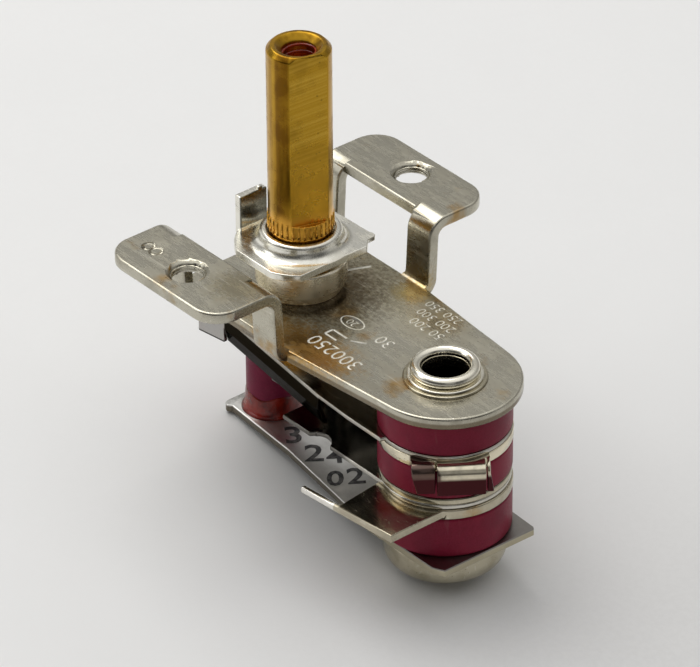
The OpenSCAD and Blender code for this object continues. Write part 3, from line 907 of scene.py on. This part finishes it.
def round_edges(piece: bpy.types.Object, width_mm: float, segments: int) -> bpy.types.Object:
    """Rounds a piece's outer edges, or only the marked ones where some are marked already.

    Args:
        piece: the object.
        width_mm: how far the rounding reaches into each face.
        segments: faces across the rounding.

    Returns:
        The piece, as a plain mesh.
    """
    if EDGE_WEIGHT not in piece.data.attributes:
        mark_outer_edges(piece, width_mm)
    solid = bmesh.new()
    solid.from_mesh(piece.data)
    surface = BVHTree.FromBMesh(solid)
    solid.free()
    bevel = piece.modifiers.new("rounded_edges", "BEVEL")
    bevel.width = width_mm * MM
    bevel.segments = segments
    bevel.limit_method = "WEIGHT"
    bevel.use_clamp_overlap = False
    bevel.loop_slide = False
    settle(piece)
    pull_back(piece, surface, THROWN_OFF * width_mm * MM)
    return level_faces(piece)


def pull_back(piece: bpy.types.Object, surface: BVHTree, reach: float) -> None:
    """Moves the corners that a rounding threw off the solid back onto it.

    A corner that stands off a little goes straight back; one thrown far out goes between its neighbours.

    Args:
        piece: the rounded piece.
        surface: the solid before its edges were rounded.
        reach: how far a corner may stand off that solid, in metres.
    """
    with opened(piece.data) as work:
        astray = set()
        for v in work.verts:
            place, _, _, gap = surface.find_nearest(v.co)
            if gap > reach:
                astray.add(v)
            elif gap > 0.5 * reach:
                v.co = place
        while astray:
            around_it = {v: [e.other_vert(v) for e in v.link_edges] for v in astray}
            ready = {v: [n for n in near if n not in astray] for v, near in around_it.items()}
            done = {v: near for v, near in ready.items() if near}
            if not done:
                break
            for v, near in done.items():
                middle = sum((n.co for n in near), Vector()) / len(near)
                v.co = surface.find_nearest(middle)[0]
            astray -= set(done)


def level_faces(piece: bpy.types.Object) -> bpy.types.Object:
    """Lets the large faces of a piece look flat up to their rounded edges.

    Args:
        piece: the object.

    Returns:
        The piece, as a plain mesh.
    """
    piece.data.set_sharp_from_angle(angle=SHARP_FROM)
    weigh = piece.modifiers.new("level_faces", "WEIGHTED_NORMAL")
    weigh.mode = "FACE_AREA"
    weigh.weight = 100
    weigh.keep_sharp = True
    return settle(piece)


def dress(piece: bpy.types.Object, finish: Finish, body: Body | None) -> bpy.types.Object:
    """Gives a piece its finish and body.

    Args:
        piece: the object.
        finish: its finish.
        body: the body it rides on, or None where it rides on no body.

    Returns:
        The piece.
    """
    piece.data.materials.clear()
    piece.data.materials.append(finish.material())
    if body is not None:
        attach(piece, body.value)
    return piece


def dress_node(node: str, finish: Finish) -> bpy.types.Object:
    """Gives a CAD node that stays as it is a finish.

    Args:
        node: the CAD node.
        finish: its finish.

    Returns:
        The node's object.
    """
    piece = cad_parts[node]
    material = finish.material()
    if not piece.data.materials:
        piece.data.materials.append(material)
    for place in piece.material_slots:
        place.material = material
    return piece


def around(angle: float, radius: float = 1.0) -> Flat:
    """The point of a circle at an angle in radians."""
    return radius * math.cos(angle), radius * math.sin(angle)


def lathe(
    name: str, profile: list[Flat], centre: Point, steps: int, wobble: float = 0.0, wave: float = 0.0
) -> bpy.types.Object:
    """Turns a closed profile around a vertical axis.

    Args:
        name: the piece's name.
        profile: radius and height of each corner, in mm, from the lowest inner one outwards and up.
        centre: the axis's foot, in mm.
        steps: steps around the turn.
        wobble: how far the radius wanders, in mm.
        wave: how far the height wanders, as a share of itself.

    Returns:
        The new object.
    """
    mesh = bpy.data.meshes.new(name)
    with opened(mesh) as work:
        rings = []
        for i in range(steps):
            turn = 2 * math.pi * i / steps
            lift = 1.0 + wave * noise.noise(Vector((math.cos(turn) * 1.1 + 4.0, math.sin(turn) * 1.1, 2.0)))
            ring = []
            for radius, height in profile:
                side = noise.noise(Vector((*around(turn, 1.3), height * 0.6)))
                r = radius + (wobble * side if radius > 0.5 * profile[0][0] else 0.0)
                ring.append(work.verts.new((Vector((*around(turn, r), height * lift)) + Vector(centre)) * MM))
            rings.append(ring)
        for a, b in zip(rings, rings[1:] + rings[:1]):
            for j in range(len(profile)):
                work.faces.new((a[j - 1], b[j - 1], b[j], a[j])).smooth = True
        bmesh.ops.remove_doubles(work, verts=work.verts, dist=SAME_POINT)
        bmesh.ops.recalc_face_normals(work, faces=work.faces)
    return add_object(name, mesh)


# Geometry recipes


@dataclass(frozen=True)
class Recipe:
    """A geometry node tree with named sizes, which makes what repeats."""

    name: str
    sizes: tuple[str, ...]
    counts: tuple[str, ...]
    steps: Callable[[Wiring, Any], Any]

    def tree(self) -> bpy.types.NodeTree:
        """The recipe's node tree, built once.

        Returns:
            The node tree.
        """
        found = bpy.data.node_groups.get(self.name)
        if found:
            return found
        tree = bpy.data.node_groups.new(self.name, "GeometryNodeTree")
        name_socket(tree, "Geometry", "Geometry")
        for label in self.sizes:
            name_socket(tree, label, "Float")
        for label in self.counts:
            name_socket(tree, label, "Int")
        name_socket(tree, "Finish", "Material")
        name_socket(tree, "Geometry", "Geometry", "OUTPUT")
        w = Wiring(tree)
        source = tree.nodes.new("NodeGroupInput").outputs
        sink = tree.nodes.new("NodeGroupOutput")
        solid = w.add("GeometryNodeRealizeInstances", {"Geometry": self.steps(w, source)})
        dressed = w.add("GeometryNodeSetMaterial", {"Geometry": solid, "Material": source["Finish"]})
        w.feed(sink.inputs[0], dressed)
        return tree

    def make(self, name: str, finish: Finish, centre: Point, **values: float) -> bpy.types.Object:
        """Makes one plain mesh piece.

        Args:
            name: the piece's name.
            finish: its finish.
            centre: where the recipe's origin goes, in mm.
            **values: the recipe's sizes in mm, and its counts.

        Returns:
            The new object.
        """
        piece = add_object(name, bpy.data.meshes.new(name))
        modifier = piece.modifiers.new("recipe", "NODES")
        modifier.node_group = self.tree()
        for item in modifier.node_group.interface.items_tree:
            if item.in_out == "INPUT" and item.name == "Finish":
                modifier[item.identifier] = finish.material()
            elif item.in_out == "INPUT" and item.name in self.counts:
                modifier[item.identifier] = int(values[item.name])
            elif item.in_out == "INPUT" and item.name in self.sizes:
                modifier[item.identifier] = float(values[item.name]) * MM
        settle(piece)
        with opened(piece.data) as work:
            bmesh.ops.recalc_face_normals(work, faces=work.faces)
            for face in work.faces:
                face.smooth = True
        piece.data.transform(Matrix.Translation(Vector(centre) * MM))
        return piece


def _thread(w: Wiring, i: Any) -> Any:
    """A small ridge that winds up the wall of a hole.

    Args:
        w: the tree's wiring.
        i: the tree's inputs, by name.

    Returns:
        The node that makes the shape.
    """
    radii = {"Start Radius": i["Radius"], "End Radius": i["Radius"]}
    rise = {"Rotations": i["Turns"], "Height": i["Height"]}
    line = w.add("GeometryNodeCurveSpiral", {"Resolution": 40, **radii, **rise})
    ridge = w.add("GeometryNodeCurvePrimitiveCircle", {"Resolution": 6, "Radius": i["Ridge"]})
    return w.add("GeometryNodeCurveToMesh", {"Curve": line, "Profile Curve": ridge, "Fill Caps": True})


def _splines(w: Wiring, i: Any) -> Any:
    """Upright tapered ridges set side by side around a shaft.

    Args:
        w: the tree's wiring.
        i: the tree's inputs, by name.

    Returns:
        The node that makes the shape.
    """
    circle = w.add("GeometryNodeMeshCircle", {"Vertices": i["Ridges"], "Radius": i["Radius"]})
    taper = {"Radius Top": i["Top"], "Radius Bottom": i["Ridge"], "Depth": i["Height"]}
    ridge = w.add("GeometryNodeMeshCone", {"Vertices": 8, "Side Segments": 1, **taper})
    return w.add("GeometryNodeInstanceOnPoints", {"Points": circle, "Instance": ridge})


THREAD = Recipe("thread_in_hole", ("Radius", "Height", "Ridge"), ("Turns",), _thread)
SPLINES = Recipe("splined_foot", ("Radius", "Height", "Ridge", "Top"), ("Ridges",), _splines)


@dataclass(frozen=True)
class Mark:
    """Plain figures on a level face: what they read, their height, their middle and their turn."""

    figures: str
    size_mm: float
    x: float
    y: float
    turn: float

    def body(self, name: str, z: float, thick_mm: float, bold_mm: float = 0.0) -> bpy.types.Object:
        """Builds the figures as a thin closed mesh.

        Args:
            name: the piece's name.
            z: the height of their middle, in mm.
            thick_mm: their thickness.
            bold_mm: how far each stroke's edges are moved outwards.

        Returns:
            The new object.
        """
        curve = bpy.data.curves.new(name, "FONT")
        curve.body = self.figures
        curve.size = self.size_mm * MM * 1.35
        curve.extrude = thick_mm * MM / 2
        curve.resolution_u = 3
        curve.offset = bold_mm * MM
        curve.align_x = "CENTER"
        curve.align_y = "CENTER"
        holder = add_object(name + "_curve", curve)
        graph = bpy.context.evaluated_depsgraph_get()
        graph.update()
        mesh = bpy.data.meshes.new_from_object(holder.evaluated_get(graph))
        bpy.data.objects.remove(holder)
        place = Matrix.Translation(Vector((self.x, self.y, z)) * MM)
        mesh.transform(place @ Matrix.Rotation(math.radians(self.turn), 4, "Z"))
        with opened(mesh) as work:
            bmesh.ops.remove_doubles(work, verts=work.verts, dist=SAME_POINT)
            bmesh.ops.recalc_face_normals(work, faces=work.faces)
        mesh.name = name
        return add_object(name, mesh)


def stroke(work: bmesh.types.BMesh, a: Flat, b: Flat, width: float, low: float, high: float) -> None:
    """Adds one straight bar between two points to a mesh.

    Args:
        work: the mesh in progress.
        a: one end, X and Y in mm.
        b: the other end.
        width: the bar's width in mm.
        low: its lower height in mm.
        high: its upper height in mm.
    """
    p, q = Vector(a), Vector(b)
    side = (q - p).normalized().orthogonal() * width / 2
    base = [p - side, q - side, q + side, p + side]
    rows = [[work.verts.new(Vector((v.x, v.y, z)) * MM) for v in base] for z in (low, high)]
    work.faces.new(rows[0][::-1])
    work.faces.new(rows[1])
    for i in range(4):
        j = (i + 1) % 4
        work.faces.new((rows[0][i], rows[0][j], rows[1][j], rows[1][i]))


# Sub-assemblies


@dataclass
class SubAssembly:
    """A group of pieces that are built and dressed together."""

    made: list[bpy.types.Object] = field(default_factory=list, init=False)

    def keep(self, piece: bpy.types.Object) -> None:
        """Notes a finished piece."""
        self.made.append(piece)

    def stand_in(
        self, node: str, name: str, finish: Finish, body: Body, width_mm: float, segments: int = 2
    ) -> None:
        """Replaces a CAD node by a copy with rounded edges.

        Args:
            node: the CAD node.
            name: the piece's name.
            finish: its finish.
            body: the body it rides on.
            width_mm: how far the rounding reaches.
            segments: faces across the rounding.
        """
        piece = round_edges(solid_copy(node, name), width_mm, segments)
        dress(piece, finish, body)
        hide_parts(node)
        self.keep(piece)

    def build(self) -> None:
        """Builds and dresses every piece."""
        raise NotImplementedError


@dataclass
class BracketPressing(SubAssembly):
    """The bracket with its stamped marks and tapped ears, and the bushing staked into it."""

    plate_z: float = -7.2
    edge_mm: float = 0.24
    bushing_edge: float = 0.08
    ear_hole_y: float = 14.0
    tap_r: float = 1.65
    thread_z: float = -1.17
    thread_h: float = 0.75
    thread_ridge: float = 0.14
    mark_depth: float = 0.11
    plate_marks: tuple[Mark, ...] = (
        Mark("300250", 1.75, 11.5, -5.3, 180.0),
        Mark("50 200", 1.2, 14.0, 4.1, 180.0),
        Mark("200 300", 1.15, 13.5, 5.7, 180.0),
        Mark("250 350", 1.1, 12.9, 7.2, 180.0),
        Mark("20", 0.95, 8.6, -0.7, 180.0),
        Mark("30", 1.5, 13.2, -0.5, 180.0),
    )
    ear_mark: Mark = Mark("8", 2.8, -5.1, -14.1, 90.0)
    index_line: tuple[Flat, Flat] = ((0.9, 4.75), (1.96, 7.2))
    index_w: float = 0.34
    slash: tuple[Flat, Flat] = ((10.9, -2.9), (12.3, -2.0))
    bent_line: tuple[Flat, ...] = ((10.4, -2.9), (8.3, -2.9), (8.3, -3.9), (10.0, -3.9))
    stroke_w: float = 0.26
    oval_centre: Flat = (8.6, -0.7)
    oval_r: Flat = (1.45, 0.85)
    oval_w: float = 0.17

    def build(self) -> None:
        """Builds the pressing, its threads and the bushing."""
        pressing = solid_copy("bracket", "bracket_pressing")
        mark_outer_edges(pressing, self.edge_mm)
        self.stamp(pressing)
        round_edges(pressing, self.edge_mm, 4)
        dress(pressing, Finishes.BRACKET, Body.FRAME)
        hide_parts("bracket")
        self.keep(pressing)
        wall = {"Radius": self.tap_r + 0.03, "Height": self.thread_h, "Ridge": self.thread_ridge, "Turns": 2}
        for side, y in (("front", -self.ear_hole_y), ("back", self.ear_hole_y)):
            thread = THREAD.make(f"ear_thread_{side}", Finishes.BRACKET, (0.0, y, self.thread_z), **wall)
            self.keep(dress(thread, Finishes.BRACKET, Body.FRAME))
        self.stand_in("bushing", "bushing_turned", Finishes.BUSHING, Body.FRAME, self.bushing_edge)

    def stamp(self, pressing: bpy.types.Object) -> None:
        """Presses plain figures and strokes into the plate and one ear.

        Args:
            pressing: the bracket's mesh piece.
        """
        places = [(mark, self.plate_z) for mark in self.plate_marks] + [(self.ear_mark, 0.0)]
        cutters = [mark.body(f"stamp_{i}", z, 2 * self.mark_depth) for i, (mark, z) in enumerate(places)]
        cutters.append(self.stroke_cutter())
        for cutter in cutters:
            cut = pressing.modifiers.new("stamp", "BOOLEAN")
            cut.operation = "DIFFERENCE"
            cut.solver = "EXACT"
            cut.object = cutter
            cut.use_self = cutter is cutters[-1]
        settle(pressing)
        for cutter in cutters:
            bpy.data.objects.remove(cutter)

    def stroke_cutter(self) -> bpy.types.Object:
        """The index line, the plain strokes and the oval as one mesh of bars.

        Returns:
            The new object.
        """
        (middle_x, middle_y), (half_x, half_y) = self.oval_centre, self.oval_r
        circle = [around(math.radians(degrees)) for degrees in range(0, 361, 20)]
        oval = [(middle_x + half_x * x, middle_y + half_y * y) for x, y in circle]
        bars = bpy.data.meshes.new("stamp_bars")
        with opened(bars) as work:
            for line, width in (
                (self.index_line, self.index_w),
                (self.slash, self.stroke_w),
                (self.bent_line, self.stroke_w),
                (oval, self.oval_w),
            ):
                for a, b in zip(line, line[1:]):
                    stroke(work, a, b, width, self.plate_z - self.mark_depth, self.plate_z + self.mark_depth)
        return add_object("stamp_bars", bars)


@dataclass
class SpindleGroup(SubAssembly):
    """The brass spindle with its thread and splined foot, the stop plate and the sealed screw."""

    radius: float = 3.175
    edge_mm: float = 0.1
    top_z: float = 19.7
    bore_r: float = 1.65
    thread_drop: float = 3.6
    thread_h: float = 2.9
    thread_ridge: float = 0.17
    seal_drop: float = 3.4
    foot_z: float = 0.45
    foot_h: float = 1.5
    ridge_r: Flat = (0.15, 0.11)
    ridges: int = 34
    stop_edge: float = 0.12

    def build(self) -> None:
        """Builds the spindle's pieces."""
        self.stand_in("spindle", "spindle_turned", Finishes.BRASS, Body.SPINDLE, self.edge_mm, 3)
        foot = {"Radius": self.radius - 0.02, "Height": self.foot_h, "Ridges": self.ridges}
        taper = dict(zip(("Ridge", "Top"), self.ridge_r))
        foot_low = (0.0, 0.0, self.foot_z - self.foot_h / 2)
        splines = SPLINES.make("spindle_splines", Finishes.BRASS, foot_low, **foot, **taper)
        self.keep(dress(splines, Finishes.BRASS, Body.SPINDLE))
        wall = {"Radius": self.bore_r + 0.03, "Height": self.thread_h, "Ridge": self.thread_ridge, "Turns": 4}
        thread_low = (0.0, 0.0, self.top_z - self.thread_drop)
        thread = THREAD.make("spindle_thread", Finishes.BRASS, thread_low, **wall)
        self.keep(dress(thread, Finishes.LACQUER, Body.SPINDLE))
        self.seal()
        self.keep(dress_node("calibration_screw", Finishes.LACQUER))
        self.stand_in("stop_plate", "stop_plate_drawn", Finishes.STOP, Body.SPINDLE, self.stop_edge, 3)

    def seal(self) -> None:
        """Adds the lacquer over the screw, which has crept up the bore's wall."""
        wall = self.bore_r - 0.02
        low = [(0.0, 0.0), (0.9, 0.0), (wall, 0.0)]
        high = [(wall, 0.9), (1.45, 0.42), (1.0, 0.22), (0.5, 0.15), (0.0, 0.15)]
        seal = lathe("screw_seal", low + high, (0.0, 0.0, self.top_z - self.seal_drop), 48)
        self.keep(dress(seal, Finishes.LACQUER, Body.SPINDLE))


@dataclass
class RingStack(SubAssembly):
    """The ceramic rings, the hollow rivet and the washers."""

    ring_edge: float = 0.12
    rivet_edge: float = 0.1
    washer_edge: float = 0.06
    spacer_edge: float = 0.08

    def build(self) -> None:
        """Builds the stack."""
        for node in ("top_ring", "middle_ring", "bottom_ring"):
            self.stand_in(node, f"{node}_fired", Finishes.RING, Body.FRAME, self.ring_edge)
        for node, way, edge in (
            ("hollow_rivet", "formed", self.rivet_edge),
            ("rivet_washer", "turned", self.washer_edge),
            ("spacer_washer", "pressed", self.spacer_edge),
        ):
            self.stand_in(node, f"{node}_{way}", Finishes.RIVET, Body.FRAME, edge)


@dataclass
class Terminals(SubAssembly):
    """The two terminals in the stack."""

    upper_edge: float = 0.09
    lower_edge: float = 0.13

    def build(self) -> None:
        """Builds the terminals."""
        for node, finish, edge in (
            ("upper_terminal", Finishes.TAB, self.upper_edge),
            ("lower_terminal", Finishes.TERMINAL, self.lower_edge),
        ):
            self.stand_in(node, f"{node}_pressed", finish, Body.FRAME, edge)


@dataclass(frozen=True)
class Bend:
    """How a strip bends between the stack and its free part, in mm."""

    moving: Body
    start_x: float
    end_x: float
    z: float
    steps: int = 14

    def slices(self) -> tuple[float, ...]:
        """Where the strip needs rows of edges, along X in metres."""
        length = self.end_x - self.start_x
        return tuple((self.start_x + length * k / self.steps) * MM for k in range(self.steps + 1))

    def apply(self, piece: bpy.types.Object) -> None:
        """Bakes a finished piece's placement into its mesh; the bend is not set up here."""
        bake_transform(piece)


@dataclass
class Strips(SubAssembly):
    """The contact arm, the lower spring and the bimetal strip, with their contacts, pin and ink."""

    arm: Bend = Bend(Body.ARM, 15.0, 7.0, -12.3)
    spring: Bend = Bend(Body.LOWER_SPRING, 15.0, 7.0, -17.95)
    bimetal: Bend = Bend(Body.BIMETAL, 15.0, 0.0, -24.1)
    arm_edge: float = 0.09
    spring_edge: float = 0.1
    bimetal_edge: float = 0.08
    pin_edge: float = 0.12
    pin_x: float = -4.8
    pin_r: float = 2.6
    bimetal_top: float = -23.7
    ink_mm: float = 0.012
    ink_bold: float = 0.07
    ink_marks: tuple[Mark, ...] = (
        Mark("3", 3.0, 0.9, -2.0, 57.0),
        Mark("2", 3.0, 4.7, -2.5, 52.0),
        Mark("4", 2.6, 6.4, -1.2, 55.0),
        Mark("0", 2.6, 9.4, -3.7, 50.0),
        Mark("2", 2.8, 10.4, -1.9, 55.0),
    )

    def build(self) -> None:
        """Builds the three strips and what they carry."""
        for node, name, finish, bend, edge in (
            ("contact_arm", "contact_arm_pressed", Finishes.ARM, self.arm, self.arm_edge),
            ("lower_spring", "lower_spring_leaf", Finishes.SPRING, self.spring, self.spring_edge),
            ("bimetal_strip", "bimetal_strip_rolled", Finishes.BIMETAL, self.bimetal, self.bimetal_edge),
        ):
            piece = round_edges(solid_copy(node, name, bend.slices()), edge, 2)
            dress(piece, finish, None)
            bend.apply(piece)
            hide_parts(node)
            self.keep(piece)
        self.keep(dress_node("upper_contact", Finishes.CONTACT))
        self.keep(dress_node("lower_contact", Finishes.CONTACT))
        self.stand_in("ceramic_pin", "ceramic_pin_fired", Finishes.PIN, Body.BIMETAL, self.pin_edge)
        self.keep(dress_node("pin_rivet", Finishes.RIVET))
        self.lacquer_foot()
        self.write()

    def lacquer_foot(self) -> None:
        """Adds the ring of lacquer that locks the pin on the strip."""
        low = [(-0.05, 0.02), (0.5, 0.02), (0.28, 0.16), (0.15, 0.5)]
        high = [(0.1, 1.2), (0.08, 1.9), (0.03, 2.15), (-0.05, 2.2)]
        profile = [(self.pin_r + out, height) for out, height in low + high]
        base = (self.pin_x, 0.0, self.bimetal_top)
        foot = lathe("pin_foot_lacquer", profile, base, 96, wobble=0.09, wave=0.45)
        self.keep(dress(foot, Finishes.FOOT_LACQUER, Body.BIMETAL))

    def write(self) -> None:
        """Writes plain figures on the strip with a marker."""
        for i, mark in enumerate(self.ink_marks):
            ink = mark.body(f"ink_figure_{i}", self.bimetal_top + self.ink_mm, self.ink_mm, self.ink_bold)
            dress(ink, Finishes.INK, None)
            self.bimetal.apply(ink)
            self.keep(ink)


@dataclass
class Pushers(SubAssembly):
    """The ceramic rod and the steel pin inside the spindle."""

    rod_edge: float = 0.08

    def build(self) -> None:
        """Dresses the two pieces."""
        self.stand_in("ceramic_rod", "ceramic_rod_fired", Finishes.ROD, Body.PUSHER, self.rod_edge)
        self.keep(dress_node("push_pin", Finishes.PUSH))


# Studio


@dataclass(frozen=True)
class FloorPaint(Finish):
    """Pale paper under the object, darker away from the lamps."""

    colour: Colour = (0.84, 0.84, 0.84)
    far: Colour = (0.60, 0.595, 0.59)
    darkening: tuple[float, float] = (-10.0, 90.0)

    def paint(self, w: Wiring, shader: bpy.types.Node, at: Any) -> None:
        """Builds the paper.

        Args:
            w: the material's wiring.
            shader: its Principled BSDF.
            at: the place on the object, in millimetres.
        """
        cloud = PATCHES.mask(w, at, Scale=0.12, Low=0.3, High=0.7)
        fibre = PATCHES.mask(w, at, Scale=1.6, Low=0.3, High=0.7)
        soft = w.layer(self.colour, cloud, tuple(c * 0.96 for c in self.colour), share=0.25)
        along = w.vector("DOT_PRODUCT", at, (0.97, 0.0, 0.0))
        soft = w.mix(w.ramp(along, *self.darkening), soft, self.far)
        colour = w.layer(soft, fibre, tuple(c * 0.97 for c in self.colour), share=0.25)
        w.fill(shader, {"Base Color": colour, "Roughness": 0.85, "Specular IOR Level": 0.2})


@dataclass(frozen=True)
class Softbox:
    """A square lamp that faces the object, in metres and watts."""

    name: str
    place: Point
    size: float
    power: float
    colour: Colour
    aim: Point = (0.008, 0.0, -0.008)

    def hang(self) -> None:
        """Adds the lamp to the scene."""
        data = bpy.data.lights.new(self.name, "AREA")
        data.size = self.size
        data.energy = self.power
        data.color = self.colour
        lamp = add_object(self.name, data)
        lamp.location = self.place
        way = Vector(self.aim) - Vector(self.place)
        lamp.rotation_euler = way.to_track_quat("-Z", "Y").to_euler()


@dataclass
class Studio:
    """The floor, the lamps and the surroundings."""

    lean: float = 8.0
    floor_size: float = 6.0
    floor_gap: float = 0.00002
    lamps: tuple[Softbox, ...] = (
        Softbox("key_softbox", (-0.33, -0.02, 0.62), 0.56, 2.5, (1.0, 0.985, 0.95)),
        Softbox("side_softbox", (0.62, -0.30, 0.30), 0.34, 0.08, (1.0, 1.0, 1.0)),
        Softbox("left_softbox", (-0.45, -0.55, 0.40), 0.34, 0.50, (0.97, 0.98, 1.0)),
    )
    greys: tuple[Flat, ...] = ((0.50, 0.58), (0.64, 0.38), (0.77, 0.25), (0.88, 0.46), (0.95, 0.80))
    lowest_grey: float = 0.45
    highest_grey: float = 0.95
    camera_side: Point = (0.771, -0.636, 0.0)

    def build(self, pieces: list[bpy.types.Object]) -> None:
        """Sets the floor under the pieces and lights them.

        Args:
            pieces: the object's pieces, which the floor carries.
        """
        self.lay_floor(pieces)
        for lamp in self.lamps:
            lamp.hang()
        self.surround()

    def lay_floor(self, pieces: list[bpy.types.Object]) -> None:
        """Lays the floor so that the rivet's head and the strip's end rest on it.

        Args:
            pieces: the object's pieces.
        """
        lean = math.radians(self.lean)
        up = Vector((math.sin(lean), 0.0, math.cos(lean)))
        low = min(up.dot(v.co) for piece in pieces for v in piece.data.vertices)
        half = self.floor_size / 2
        turn = Matrix.Rotation(lean, 4, "Y")
        middle = up * (low - self.floor_gap)
        signs = ((-1, -1), (1, -1), (1, 1), (-1, 1))
        corners = [turn @ Vector((x * half, y * half, 0.0)) + middle for x, y in signs]
        mesh = bpy.data.meshes.new("floor")
        mesh.from_pydata(corners, [], [(0, 1, 2, 3)])
        floor = add_object("floor", mesh)
        floor.data.materials.append(FloorPaint("floor_paper", Slot.BRACKET).material())

    def surround(self) -> None:
        """Builds the world: pale at the horizon and overhead, darker half way up and on the camera's side."""
        world = bpy.data.worlds.new("studio")
        bpy.context.scene.world = world
        world.use_nodes = True
        world.node_tree.nodes.clear()
        w = Wiring(world.node_tree)
        way = w.add("ShaderNodeTexCoord").outputs["Generated"]
        height = w.add("ShaderNodeSeparateXYZ", {0: way}).outputs["Z"]
        ramp = w.add("ShaderNodeValToRGB", {"Fac": w.ramp(height, -1.0, 1.0)})
        stops = ramp.color_ramp.elements
        for end, grey in zip(stops, (self.lowest_grey, self.highest_grey)):
            end.color = (grey, grey, grey, 1)
        for at, grey in self.greys:
            stops.new(at).color = (grey, grey * 0.995, grey * 0.98, 1)
        toward = w.vector("DOT_PRODUCT", way, self.camera_side)
        low = w.times(w.ramp(toward, 0.05, 0.60), w.ramp(height, 0.85, 0.60))
        shade = w.minus(1.0, w.times(low, 0.78))
        light = w.add("ShaderNodeBackground", {"Color": ramp, "Strength": shade})
        w.add("ShaderNodeOutputWorld", {"Surface": light})


@dataclass(frozen=True)
class PhotoCamera:
    """The camera at the photograph's viewing angle, for a frame of 700 by 667."""

    azimuth: float = -39.552
    elevation: float = 32.930
    roll: float = -0.413
    place_mm: Point = (378.676, -306.677, 302.552)
    lens_mm: float = 305.35
    sensor_mm: float = 36.0
    clip_m: float = 0.01

    def build(self) -> None:
        """Makes the scene's camera."""
        turn, rise, tip = (math.radians(a) for a in (self.azimuth, self.elevation, self.roll))
        back = Vector((math.cos(rise) * math.cos(turn), math.cos(rise) * math.sin(turn), math.sin(rise)))
        level = Vector((-math.sin(turn), math.cos(turn), 0.0))
        right = level * math.cos(tip) + back.cross(level) * math.sin(tip)
        pose = Matrix((right, back.cross(right), back)).transposed().to_4x4()
        pose.translation = Vector(self.place_mm) * MM
        data = bpy.data.cameras.new("photo_camera")
        data.lens = self.lens_mm
        data.sensor_width = self.sensor_mm
        data.clip_start = self.clip_m
        camera = add_object("photo_camera", data)
        camera.matrix_world = pose
        bpy.context.scene.camera = camera


def main() -> None:
    """Builds the sub-assemblies in order, then the studio and the camera."""
    logging.basicConfig(level=logging.INFO, format="%(name)s: %(message)s")
    PhotoCamera().build()
    kinds = (BracketPressing, SpindleGroup, RingStack, Terminals, Strips, Pushers)
    groups: list[SubAssembly] = [kind() for kind in kinds]
    for group in groups:
        group.build()
        for piece in group.made:
            LOG.info("%s: %s, %d faces", type(group).__name__, piece.name, len(piece.data.polygons))
    Studio().build([piece for group in groups for piece in group.made])
    bpy.context.scene.view_settings.view_transform = "Standard"


if __name__ == "__main__":
    main()
